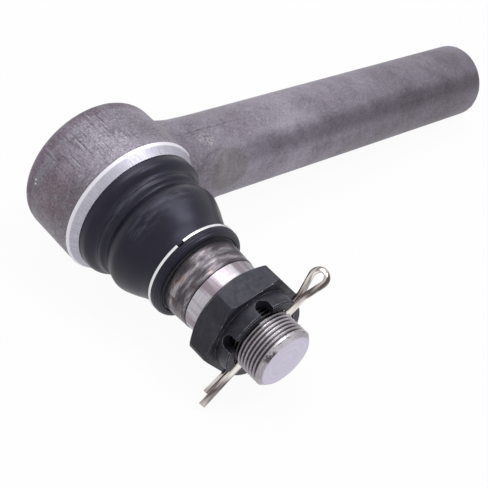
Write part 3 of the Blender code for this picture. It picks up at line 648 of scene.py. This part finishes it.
# %% [markdown]
# ## Tools for turned pieces
# Nearly every piece here comes off a lathe, so one helper turns an outline round the stud's
# axis. An outline is a list of (along, radius) corners in millimetres. A corner may carry a
# third number, the radius that a file or a die would leave on it, because an edge with no
# rounding at all catches no light and looks like paper.

# %% Round an outline's corners and turn it
def soft_outline(corners, closed=False, steps=4):
    """Replace each corner that has a third number by a small arc that touches both sides."""
    points = [Vector(corner[:2]) for corner in corners]
    made = []
    for index, corner in enumerate(corners):
        inner = 0 < index < len(corners) - 1
        if len(corner) < 3 or not (inner or closed):
            made.append(tuple(points[index]))
            continue
        here = points[index]
        back = (points[index - 1] - here).normalized()
        ahead = (points[(index + 1) % len(points)] - here).normalized()
        half = back.angle(ahead) / 2
        middle = here + (back + ahead).normalized() * (corner[2] / math.sin(half))
        start = here + back * (corner[2] / math.tan(half)) - middle
        sweep = start.angle(here + ahead * (corner[2] / math.tan(half)) - middle)
        side = math.copysign(1.0, back.x * ahead.y - back.y * ahead.x)
        for step in range(steps + 1):
            turn = Matrix.Rotation(-side * sweep * step / steps, 2)
            made.append(tuple(middle + turn @ start))
    return made


def mesh_from(bm, name, finish):
    """Weld a drawing, turn its faces outwards and make it a mesh in metres."""
    bmesh.ops.remove_doubles(bm, verts=bm.verts, dist=0.002)
    bmesh.ops.recalc_face_normals(bm, faces=bm.faces)
    bmesh.ops.scale(bm, verts=bm.verts, vec=(MM, MM, MM))
    mesh = bpy.data.meshes.new(name)
    bm.to_mesh(mesh)
    bm.free()
    mesh.materials.append(finish)
    return mesh


def turned(name, outline, finish, steps=144, closed=True):
    """Spin an outline round the stud's axis, as a lathe would leave it."""
    bm = bmesh.new()
    verts = [bm.verts.new((radius, 0.0, along)) for along, radius in outline]
    edges = [bm.edges.new(pair) for pair in zip(verts, verts[1:])]
    if closed and outline[0][1] > 0.0:
        edges.append(bm.edges.new((verts[-1], verts[0])))
    bmesh.ops.spin(
        bm, geom=verts + edges, cent=(0, 0, 0), axis=(0, 0, 1), angle=math.tau, steps=steps,
        use_merge=True,
    )
    return mesh_from(bm, name, finish)


def skinned(name, rings, finish):
    """Join rings of bench points, one after the other, and close both ends."""
    bm = bmesh.new()
    loops = [[bm.verts.new(point) for point in ring] for ring in rings]
    for lower, upper in zip(loops, loops[1:]):
        for side in zip(lower, lower[1:] + lower[:1], upper[1:] + upper[:1], upper):
            bm.faces.new(side)
    bm.faces.new(loops[0])
    bm.faces.new(loops[-1])
    return mesh_from(bm, name, finish)


# %% Put a finished mesh on the table
def lay(mesh, name, stands_for, crisp):
    """Make the piece, and keep an edge sharp where it turns by more than crisp degrees."""
    mesh.shade_smooth()
    mesh.set_sharp_from_angle(angle=math.radians(crisp))
    mesh.transform(bench)
    piece = bpy.data.objects.new(name, mesh)
    bpy.context.scene.collection.objects.link(piece)
    if stands_for:
        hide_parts(*stands_for)
    print(name, len(mesh.polygons), "faces")
    return piece


def settle(mesh, name, body, stands_for=(), crisp=30.0):
    piece = lay(mesh, name, stands_for, crisp)
    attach(piece, body)
    return piece


# %% Shape a mesh with modifiers
def helper(mesh):
    """A mesh that only shapes another one, and is removed afterwards."""
    made = bpy.data.objects.new(mesh.name, mesh)
    bpy.context.scene.collection.objects.link(made)
    return made


def applied(work, *tools):
    """The mesh as its modifiers leave it. The helpers are then cleared away."""
    seen_by = bpy.context.evaluated_depsgraph_get()
    made = bpy.data.meshes.new_from_object(work.evaluated_get(seen_by))
    for used in (work, *tools):
        bpy.data.objects.remove(used, do_unlink=True)
    return made


def carved(base, steps):
    """Join or cut solids with the Boolean modifier, one (operation, mesh) after another."""
    work = helper(base)
    tools = []
    for operation, mesh in steps:
        tool = helper(mesh)
        tools.append(tool)
        change = work.modifiers.new(mesh.name, "BOOLEAN")
        change.operation = operation
        change.solver = "EXACT"
        change.material_mode = "TRANSFER"
        change.object = tool
    return applied(work, *tools)


# %% [markdown]
# ## The forging
# The rod and its eye are one piece, pressed hot between two dies and left with its grey scale.
# Dies leave soft inside corners, and the lathe then cuts crisp ones. So the blank is made
# first: barrel and rod are joined by remeshing them into one even net of small faces, which is
# smoothed as hot metal flows. The turned rim and the bearing's bore are cut afterwards, and
# the Boolean modifier hands the cut faces the bright finish of the tool.
#
# The root of the rod is the hard part. Seen from the side it meets the barrel in a round
# fillet, and in front it is nearly flat and level with the rim. Each of its sections is
# a superellipse, a curve that goes from a circle to a rounded square by one number.

# %% Draw the rod's sections
EYE_RADIUS = 29.1
ROD_RADIUS = 17.5
ROD_LENGTH = 217.0
ROOT_FILLET = 12.0
RIM_EDGE = 14.34
RIM_TOP = 18.44
RIM_RADIUS = 26.5
MOUTH_RADIUS = 25.8
FRONT_ROOT_END = 48.0
BACK_ROOT_END = 35.0

root_end = math.sqrt((EYE_RADIUS + ROOT_FILLET) ** 2 - (ROD_RADIUS + ROOT_FILLET) ** 2)
root_start = root_end * EYE_RADIUS / (EYE_RADIUS + ROOT_FILLET)


def fading(x, start, end):
    """One up to start and nothing past end, with a smooth fall between."""
    share = min(max((x - start) / (end - start), 0.0), 1.0)
    return (1.0 - share) ** 2 * (1.0 + 2.0 * share)


def root_height(x):
    """Half the height of the root: round the barrel first, then down the fillet to the rod."""
    if x < root_start:
        return math.sqrt((EYE_RADIUS + 0.1) ** 2 - x**2)
    drop = min(max(root_end - x, 0.0), ROOT_FILLET)
    return ROD_RADIUS + ROOT_FILLET - math.sqrt(ROOT_FILLET**2 - drop**2)


def rod_section(x, points=96):
    """The rod's outline at x. A curve number of 2 is round, and a higher one is squarer."""
    ease = fading(x, root_start, FRONT_ROOT_END)
    front = 2.0 + 3.2 * ease + 1.5 * fading(x, 16.0, root_start)
    back = 2.0 + 0.6 * fading(x, root_start, BACK_ROOT_END)
    section = []
    for step in range(points):
        angle = math.tau * step / points
        up, out = math.cos(angle), math.sin(angle)
        power = 2.0 / (front if out > 0.0 else back)
        height = root_height(x) * math.copysign(abs(up) ** power, up)
        width = (ROD_RADIUS + 1.3 * ease) * math.copysign(abs(out) ** power, out)
        section.append((x, height, width))
    return section


print("root fillet runs from x", round(root_start, 2), "to", round(root_end, 2), "mm")

# %% Press the blank
def remeshed(meshes, voxel, smoothing):
    """Join closed meshes into one even skin, as if they had flowed together."""
    work = helper(meshes[0])
    joined = bmesh.new()
    for mesh in meshes:
        joined.from_mesh(mesh)
    joined.to_mesh(work.data)
    joined.free()
    even = work.modifiers.new("flow", "REMESH")
    even.mode = "VOXEL"
    even.voxel_size = voxel * MM
    relax = work.modifiers.new("relax", "SMOOTH")
    relax.factor = 0.5
    relax.iterations = smoothing
    return applied(work)


EYE_BACK = -24.22
CONE_END = -12.65
BARREL_TOP = 14.0
NET_SIZE = 0.8
barrel_outline = [
    (EYE_BACK, 0.0), (EYE_BACK, 10.0, 3.0), (CONE_END, EYE_RADIUS, 4.8),
    (BARREL_TOP, EYE_RADIUS), (BARREL_TOP, 0.0),
]
barrel = turned("barrel", soft_outline(barrel_outline, steps=8), forged_scale)
# Sections lie 1 mm apart at the root and 4 mm along the bar. The last one is smaller, which
# breaks the cut end's edge.
END_SHARE = 0.94
stations = [9.0 + index for index in range(40)] + [4.0 * index for index in range(13, 54)]
sections = [rod_section(x) for x in (*stations, ROD_LENGTH - 1.0)]
sections.append([(x, y * END_SHARE, z * END_SHARE) for x, y, z in rod_section(ROD_LENGTH)])
rod = skinned("rod", sections, forged_scale)
blank = remeshed([barrel, rod], NET_SIZE, smoothing=3)
blank.materials.clear()
blank.materials.append(forged_scale)
print("blank:", len(blank.polygons), "faces")

# %% Turn the rim and bore the eye
# The rim overlaps the barrel. Below its edge the tool didn't reach, so the scale stays there.
# The bore's steps are, from the back, the spring's pocket and its cone, the bearing seats'
# bore, the lip that holds the closing ring, and the mouth for the boot's foot.
RIM_FOOT, RIM_INSIDE = 12.0, 24.0
POCKET_RADIUS, POCKET_FLOOR = 12.2, -19.72
BEARING_RADIUS = 23.5
LIP_RADIUS, LIP_BACK, LIP_FRONT = 19.8, 13.44, 15.44
rim_outline = [
    (RIM_FOOT, RIM_INSIDE), (RIM_FOOT, EYE_RADIUS - 0.05), (RIM_EDGE, EYE_RADIUS + 0.02),
    (RIM_TOP, RIM_RADIUS), (RIM_TOP, RIM_INSIDE),
]
rim = turned("rim", rim_outline, turned_rim, steps=240)
rim.materials.append(forged_scale)
for face in rim.polygons:
    if face.center.z < RIM_EDGE * MM:
        face.material_index = 1
bore_outline = [
    (POCKET_FLOOR, 0.0), (POCKET_FLOOR, POCKET_RADIUS), (-17.02, POCKET_RADIUS),
    (-8.5, BEARING_RADIUS), (LIP_BACK, BEARING_RADIUS), (LIP_BACK, LIP_RADIUS),
    (LIP_FRONT, LIP_RADIUS), (LIP_FRONT, MOUTH_RADIUS), (RIM_TOP, MOUTH_RADIUS),
    (RIM_TOP, RIM_RADIUS), (40.0, RIM_RADIUS), (40.0, 0.0),
]
bore = turned("bore", bore_outline, turned_rim, steps=240)
forging = carved(blank, [("UNION", rim), ("DIFFERENCE", bore)])
settle(forging, "forging", "root", ["rod_end_forging"], crisp=24.0)

# %% [markdown]
# ## The boot
# The boot keeps grease in and water out. Its foot is pressed into the eye's mouth and its neck
# is clamped on the stud, so when the stud swings the rubber between them has to bend. The
# joint of the imported model is made of two hinges, with the bearing's liner between them. The
# boot is therefore cut in two at its valley.

# %% Draw the boot's outside and its wall
def smooth_curve(points, steps):
    """A smooth stretch of outline through a few chosen points (Catmull-Rom)."""
    chain = [points[0] * 2 - points[1], *points, points[-1] * 2 - points[-2]]
    curve = []
    for first, start, end, last in zip(chain, chain[1:], chain[2:], chain[3:]):
        for step in range(steps):
            t = step / steps
            curve.append(0.5 * (
                2 * start + (end - first) * t + (2 * first - 5 * start + 4 * end - last) * t * t
                + (3 * start - 3 * end + last - first) * t**3
            ))
    return curve + [points[-1]]


BOOT_WALL = 1.5
VALLEY = RIM_TOP + 10.5
WAIST = RIM_TOP + 31.7
NECK_BORE = 16.9
NECK_RADIUS = 17.9
SHOULDER = WAIST - 1.8
FOOT_TOP = RIM_TOP + 0.3
FOOT_BOTTOM = 15.74
skin_points = [
    (0.3, 26.3), (2.8, 26.25), (4.2, 25.5), (5.5, 23.9), (6.6, 23.3), (7.7, 23.45), (8.8, 23.2),
    (9.7, 22.3), (10.5, 21.9), (11.6, 22.3), (13.9, 23.2), (17.0, 23.6), (21.4, 22.1), (27.3, 19.4),
    (31.7, 18.5),
]
skin = smooth_curve([Vector((RIM_TOP + along, radius)) for along, radius in skin_points], 7)


def wall_inside(points, thickness):
    """The same line, moved inwards by the wall's thickness."""
    moved = []
    for index, point in enumerate(points):
        along = (points[min(index + 1, len(points) - 1)] - points[max(index - 1, 0)]).normalized()
        moved.append(Vector((point.x + along.y * thickness, point.y - along.x * thickness)))
    return moved


lining = wall_inside(skin, BOOT_WALL)
cut = min(range(len(skin)), key=lambda index: abs(skin[index].x - VALLEY))
lower_lining = [p for p in lining[: cut + 1] if p.x > FOOT_TOP]
upper_lining = [p for p in lining[cut:] if p.x < SHOULDER]
print("boot cut at", round(skin[cut].x, 2), "mm, radius", round(skin[cut].y, 2))

# %% Turn the two halves
lower_outline = [
    *lower_lining[::-1], (FOOT_TOP, 24.1), (FOOT_BOTTOM, 24.1), (FOOT_BOTTOM, 25.5),
    (FOOT_TOP, 25.5), *skin[: cut + 1],
]
lower_boot = turned("lower_boot", [tuple(p) for p in lower_outline], boot_rubber, closed=False)
lip_corners = [
    (WAIST, NECK_RADIUS), (51.74, NECK_RADIUS), (51.74, 19.4, 0.35), (52.4, 19.4, 0.1),
    (52.65, 19.15, 0.1), (52.9, 19.4, 0.1), (53.4, 19.4, 0.1), (53.65, 19.1, 0.1),
    (53.9, 19.25, 0.1), (54.5, 18.95, 0.1), (54.55, 18.65, 0.1), (54.85, 18.45, 0.2),
    (54.94, 17.6, 0.15), (54.75, 17.4, 0.1), (54.94, 17.2, 0.1), (54.94, NECK_BORE, 0.1),
    (54.0, NECK_BORE),
]
lips = soft_outline(lip_corners, steps=3)
upper_outline = [*skin[cut:], *lips, (SHOULDER, NECK_BORE), *upper_lining[::-1]]
upper_boot = turned("upper_boot", [tuple(p) for p in upper_outline], boot_rubber, closed=False)


def settle_boot(mesh, name, stands_for=()):
    """Put a half of the boot on the table."""
    piece = lay(mesh, name, stands_for, crisp=40.0)
    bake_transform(piece)


settle_boot(lower_boot, "boot_lower_half", ["boot"])
settle_boot(upper_boot, "boot_upper_half")

# %% [markdown]
# ## The clamp ring
# A split ring of flat spring wire holds the boot's neck. It is bright, and it has a gap where
# its ends meet. A round sweep of the wire's section leaves the gap open, so nothing is cut.

# %% Bend the clamp ring
def swept_ring(name, section, start, end, steps, finish):
    """Carry a closed section of (along, radius) points part of the way round the stud."""
    rings = []
    for step in range(steps + 1):
        angle = start + (end - start) * step / steps
        rings.append([(r * math.cos(angle), r * math.sin(angle), z) for z, r in section])
    return skinned(name, rings, finish)


GAP_TURN = math.radians(124.0)
GAP_WIDTH = 2.6
CLAMP_RADIUS = 18.9
half_gap = GAP_WIDTH / 2 / CLAMP_RADIUS
half_lug = 0.6 * half_gap
flat_wire = soft_outline(
    [(50.36, 18.2, 0.3), (50.36, 19.55, 0.3), (51.54, 19.55, 0.3), (51.54, 18.2, 0.3)], closed=True
)
ring_end = GAP_TURN + math.tau - half_gap
clamp = swept_ring("clamp", flat_wire, GAP_TURN + half_gap, ring_end, 140, clamp_zinc)
settle(clamp, "clamp_ring", "neck", ["boot_clamp_ring"])
lug_section = soft_outline(
    [(50.5, 18.0, 0.1), (50.5, 19.7, 0.3), (51.5, 19.7, 0.3), (51.5, 18.0, 0.1)], closed=True
)
lug = swept_ring("lug", lug_section, GAP_TURN - half_lug, GAP_TURN + half_lug, 4, boot_rubber)
settle(lug, "boot_lug", "neck")

# %% [markdown]
# ## The ball stud
# The stud is one turned piece: ball, waist, a journal for the boot's neck, the cone that fits
# the steering arm, a ground band, and the thread. The waist is slim, so that the boot's valley
# has room beside it when the stud swings. A thread could be a bump in the finish, but its
# crests show against the light, so it is real geometry here: the tooth's outline is carried
# round and rises by one pitch a turn. The rows of a turn join the next turn's rows at the
# seam, which is what makes it one spiral and not a stack of rings.

# %% Turn the stud below the thread
THREAD_RADIUS = 12.0
THREAD_START = 84.0
STUD_END = 100.84
BALL_RADIUS = 17.0
BALL_FLAT = 4.5
BALL_NECK = 10.5
JOURNAL_RADIUS = 15.0
CORE_RADIUS = 11.6
BAND_START, BAND_END = 66.2, 72.8
neck_angle = math.asin(BALL_NECK / BALL_RADIUS)
flat_angle = math.pi - math.asin(BALL_FLAT / BALL_RADIUS)
ball = [
    (BALL_RADIUS * math.cos(turn), BALL_RADIUS * math.sin(turn))
    for turn in np.linspace(flat_angle, neck_angle, 40)
]
flare_points = ((21.0, BALL_NECK), (33.0, 10.9), (40.0, 13.3), (44.0, JOURNAL_RADIUS))
flare = smooth_curve([Vector(point) for point in flare_points], 8)
shank = soft_outline([
    (44.5, JOURNAL_RADIUS), (55.24, JOURNAL_RADIUS), (55.24, 16.25, 0.25), (65.9, 15.6),
    (66.1, 15.35), (66.35, 15.36), (72.84, 14.95, 0.2), (72.84, 12.8), (74.0, CORE_RADIUS),
    (THREAD_START, CORE_RADIUS), (THREAD_START, 0.0),
])
outline = [(ball[0][0], 0.0), *ball, *[tuple(p) for p in flare], *shank]
stud_mesh = turned("stud", outline, oiled_steel, steps=160)
stud_mesh.materials.append(ground_band)
for face in stud_mesh.polygons:
    if BAND_START * MM < face.center.z < BAND_END * MM:
        face.material_index = 1
settle(stud_mesh, "stud_shank", "stud", ["ball_stud"])

# %% Cut the thread
PITCH = 1.5
STUD_CHAMFER = 1.55
RUN_OUT = 0.4
SHANK_LAP = 0.4
tooth = [
    (0.0, 11.08), (0.09, 11.08), (0.62, 11.92), (0.70, THREAD_RADIUS), (0.83, THREAD_RADIUS),
    (0.91, 11.92), (1.41, 11.1),
]
columns = 120


def on_chamfer(radius, along):
    """The thread runs out into the chamfer that the lathe leaves on its end."""
    chamfer = THREAD_RADIUS - max(along - (STUD_END - STUD_CHAMFER), 0.0)
    share = min(max((along - STUD_END + 2.0) / RUN_OUT, 0.0), 1.0)
    return min(radius + (chamfer - radius) * share, chamfer)


def thread_point(column, turn, corner):
    along = THREAD_START - PITCH + PITCH * (turn + column / columns) + tooth[corner][0]
    along = min(max(along, THREAD_START - SHANK_LAP), STUD_END)
    radius = on_chamfer(tooth[corner][1], along)
    angle = math.tau * column / columns
    return radius * math.cos(angle), radius * math.sin(angle), along


def thread_mesh():
    """Join a grid of thread points, a column for each step round and rows along the stud."""
    bm = bmesh.new()
    turns = int((STUD_END - THREAD_START) / PITCH) + 4
    rows = turns * len(tooth)
    grid = [
        [bm.verts.new(thread_point(column, *divmod(row, len(tooth)))) for row in range(rows)]
        for column in range(columns)
    ]
    for column in range(columns):
        after = (column + 1) % columns
        lift = len(tooth) if after == 0 else 0
        for row in range(rows - 1 - lift):
            one, two = grid[column], grid[after]
            corners = (one[row], two[row + lift], two[row + 1 + lift], one[row + 1])
            bm.faces.new(corners)
    bmesh.ops.remove_doubles(bm, verts=bm.verts, dist=0.0005)
    bmesh.ops.dissolve_degenerate(bm, dist=0.0005, edges=bm.edges)
    rim_edges = [edge for edge in bm.edges if edge.is_boundary]
    bmesh.ops.holes_fill(bm, edges=rim_edges, sides=0)
    return mesh_from(bm, "thread", bright_thread)


spiral = thread_mesh()
spiral.materials.append(end_face)
for face in spiral.polygons:
    if face.center.z > (STUD_END - 0.02) * MM and abs(face.normal.z) > 0.9:
        face.material_index = 1
settle(spiral, "stud_thread", "stud", crisp=20.0)

# %% [markdown]
# ## The slotted nut
# A castle nut is pressed to a hexagon with blunt corners, chamfered on both faces, and its crown
# is slotted for the pin. The mesh is made from a turned blank, which is cut to a hexagon. The
# blank is a little narrower than the hexagon's corners, and that leaves them blunt. Six slots
# follow, and a Bevel modifier breaks every edge by a quarter of a millimetre, as tumbling does.

# %% Turn the nut's blank
SLOT_TURN = PIN_TURN
NUT_BASE = 73.14
HEX_TOP = 83.64
NUT_TOP = 89.84
HEX_ACROSS = 37.4
CORNER = HEX_ACROSS / math.sqrt(3.0)
BLANK_RADIUS = 21.1
FACE_RADIUS = 17.6
TOP_RADIUS = 20.0
CROWN_RADIUS = 16.5
NUT_BORE = 12.3
BASE_SLOPE = 0.727
TOP_SLOPE = 0.577


def about(turn, points):
    """Bench points, turned about the stud."""
    face = Matrix.Rotation(turn, 3, "Z")
    return [face @ Vector(point) for point in points]


nut_outline = [
    (NUT_BASE, NUT_BORE + 0.6), (NUT_BASE, FACE_RADIUS),
    (NUT_BASE + (BLANK_RADIUS - FACE_RADIUS) * BASE_SLOPE, BLANK_RADIUS),
    (HEX_TOP - (BLANK_RADIUS - TOP_RADIUS) * TOP_SLOPE, BLANK_RADIUS),
    (HEX_TOP, TOP_RADIUS), (HEX_TOP, CROWN_RADIUS), (NUT_TOP - 0.5, CROWN_RADIUS),
    (NUT_TOP, CROWN_RADIUS - 0.5), (NUT_TOP, NUT_BORE + 1.0), (NUT_TOP - 1.0, NUT_BORE),
    (NUT_BASE + 0.6, NUT_BORE),
]
nut_blank = turned("nut_blank", nut_outline, nut_phosphate, steps=120)
print("nut blank:", len(nut_blank.polygons), "faces")

# %% Cut it to a hexagon and slot it
hexagon_ends = [
    [about(SLOT_TURN + math.tau * (k + 0.5) / 6, [(CORNER, 0.0, z)])[0] for k in range(6)]
    for z in (NUT_BASE - 1.0, NUT_TOP + 1.0)
]
hexagon = skinned("hexagon", hexagon_ends, nut_phosphate)
SLOT_HALF = 2.7
SLOT_BOTTOM = 84.84
bottom = [
    (SLOT_HALF * math.cos(turn), SLOT_BOTTOM + SLOT_HALF + SLOT_HALF * math.sin(turn))
    for turn in np.linspace(math.pi, math.tau, 15)
]
slot_side = [(SLOT_HALF, NUT_TOP + 3.0), (-SLOT_HALF, NUT_TOP + 3.0), *bottom]


def slot_cutter(k):
    """A block with a round bottom that crosses the crown's wall."""
    turn = SLOT_TURN + math.tau * k / 6
    ends = [about(turn, [(x, y, z) for y, z in slot_side]) for x in (6.0, 20.0)]
    return skinned(f"slot_{k}", ends, nut_phosphate)


cuts = [("INTERSECT", hexagon), *[("DIFFERENCE", slot_cutter(k)) for k in range(6)]]
nut_mesh = carved(nut_blank, cuts)
print("nut:", len(nut_mesh.polygons), "faces")

# %% Break its edges
EDGE_WIDTH = 0.28
SHARPEST = 32.0
nut = settle(nut_mesh, "slotted_nut", "stud", ["castle_nut"], crisp=20.0)
nut.data.materials.append(worn_edge)
broken = nut.modifiers.new("broken_edges", "BEVEL")
broken.material = 1
broken.width = EDGE_WIDTH * MM
broken.segments = 2
broken.limit_method = "ANGLE"
broken.angle_limit = math.radians(SHARPEST)

# %% [markdown]
# ## The split pin
# The pin is one length of half-round wire, bent double with its flat side inwards, so its two
# legs together make a round pin. The wire is swept along the bend: a section is set square to
# the path at each point and the sections are skinned.

# %% Bend the pin
WIRE = 1.8
EYE_BEND = 2.3
EYE_REACH = 11.9
LONG_END, SHORT_END = 30.7, 26.7
pin_place = Matrix.Translation((0.0, 0.0, NUT_TOP - 1.1)) @ Matrix.Rotation(SLOT_TURN, 4, "Z")


def pin_line():
    """The wire's inner line: along the long leg, round the eye, and back along the short leg."""
    split, leave, neck = 0.15, 16.5, 20.1
    eye = neck + EYE_REACH - EYE_BEND - WIRE
    rise = math.asin(EYE_BEND / (eye - neck)) - split / (eye - neck)
    spread = math.tan(math.radians(1.2))
    long_leg = [
        (-LONG_END, split + (LONG_END - leave) * spread), (-leave, split),
        (neck - 1.5, split), (neck, split + 0.1),
    ]
    bend = [
        (eye + EYE_BEND * math.cos(turn), EYE_BEND * math.sin(turn))
        for turn in np.linspace(math.pi / 2 + rise, -math.pi / 2 - rise, 29)
    ]
    short_leg = [
        (neck, -split - 0.1), (neck - 1.5, -split), (-leave, -split),
        (-SHORT_END, -split - (SHORT_END - leave) * spread),
    ]
    return [Vector(point) for point in (*long_leg, *bend, *short_leg)]


def pin_sections():
    """The wire's half-round section, set square to its line at each point."""
    line = pin_line()
    arc = [(math.cos(t), math.sin(t)) for t in np.linspace(0.12, math.pi - 0.12, 15)]
    half_round = [(0.93, 0.0), *arc, (-0.93, 0.0)]
    sections = []
    for index, point in enumerate(line):
        along = (line[min(index + 1, len(line) - 1)] - line[max(index - 1, 0)]).normalized()
        outward = Vector((-along.y, along.x))
        sections.append([
            pin_place @ Vector((
                point.x + outward.x * WIRE * rise, WIRE * across, point.y + outward.y * WIRE * rise
            ))
            for across, rise in half_round
        ])
    return sections


pin_mesh = skinned("pin", pin_sections(), pin_zinc)
settle(pin_mesh, "locking_pin", "stud", ["split_pin"], crisp=40.0)

# %% [markdown]
# ## The hidden pieces
# The bearing's pieces keep their solids, because only a cut through the eye would show them.
# They get the finishes of moulded plastic, turned steel and rubber.

# %% Finish the hidden pieces
hidden = {
    "front_seat": dark_plastic, "back_seat": dark_plastic, "boot_neck_bush": dark_plastic,
    "front_liner": pale_plastic, "back_liner": pale_plastic, "preload_spring": inner_steel,
    "closing_ring": inner_steel, "boot_foot_ring": inner_steel, "closing_ring_seal": boot_rubber,
}
for name, finish in hidden.items():
    nodes[name].data.materials.clear()
    nodes[name].data.materials.append(finish)
print("hidden pieces finished:", len(hidden))
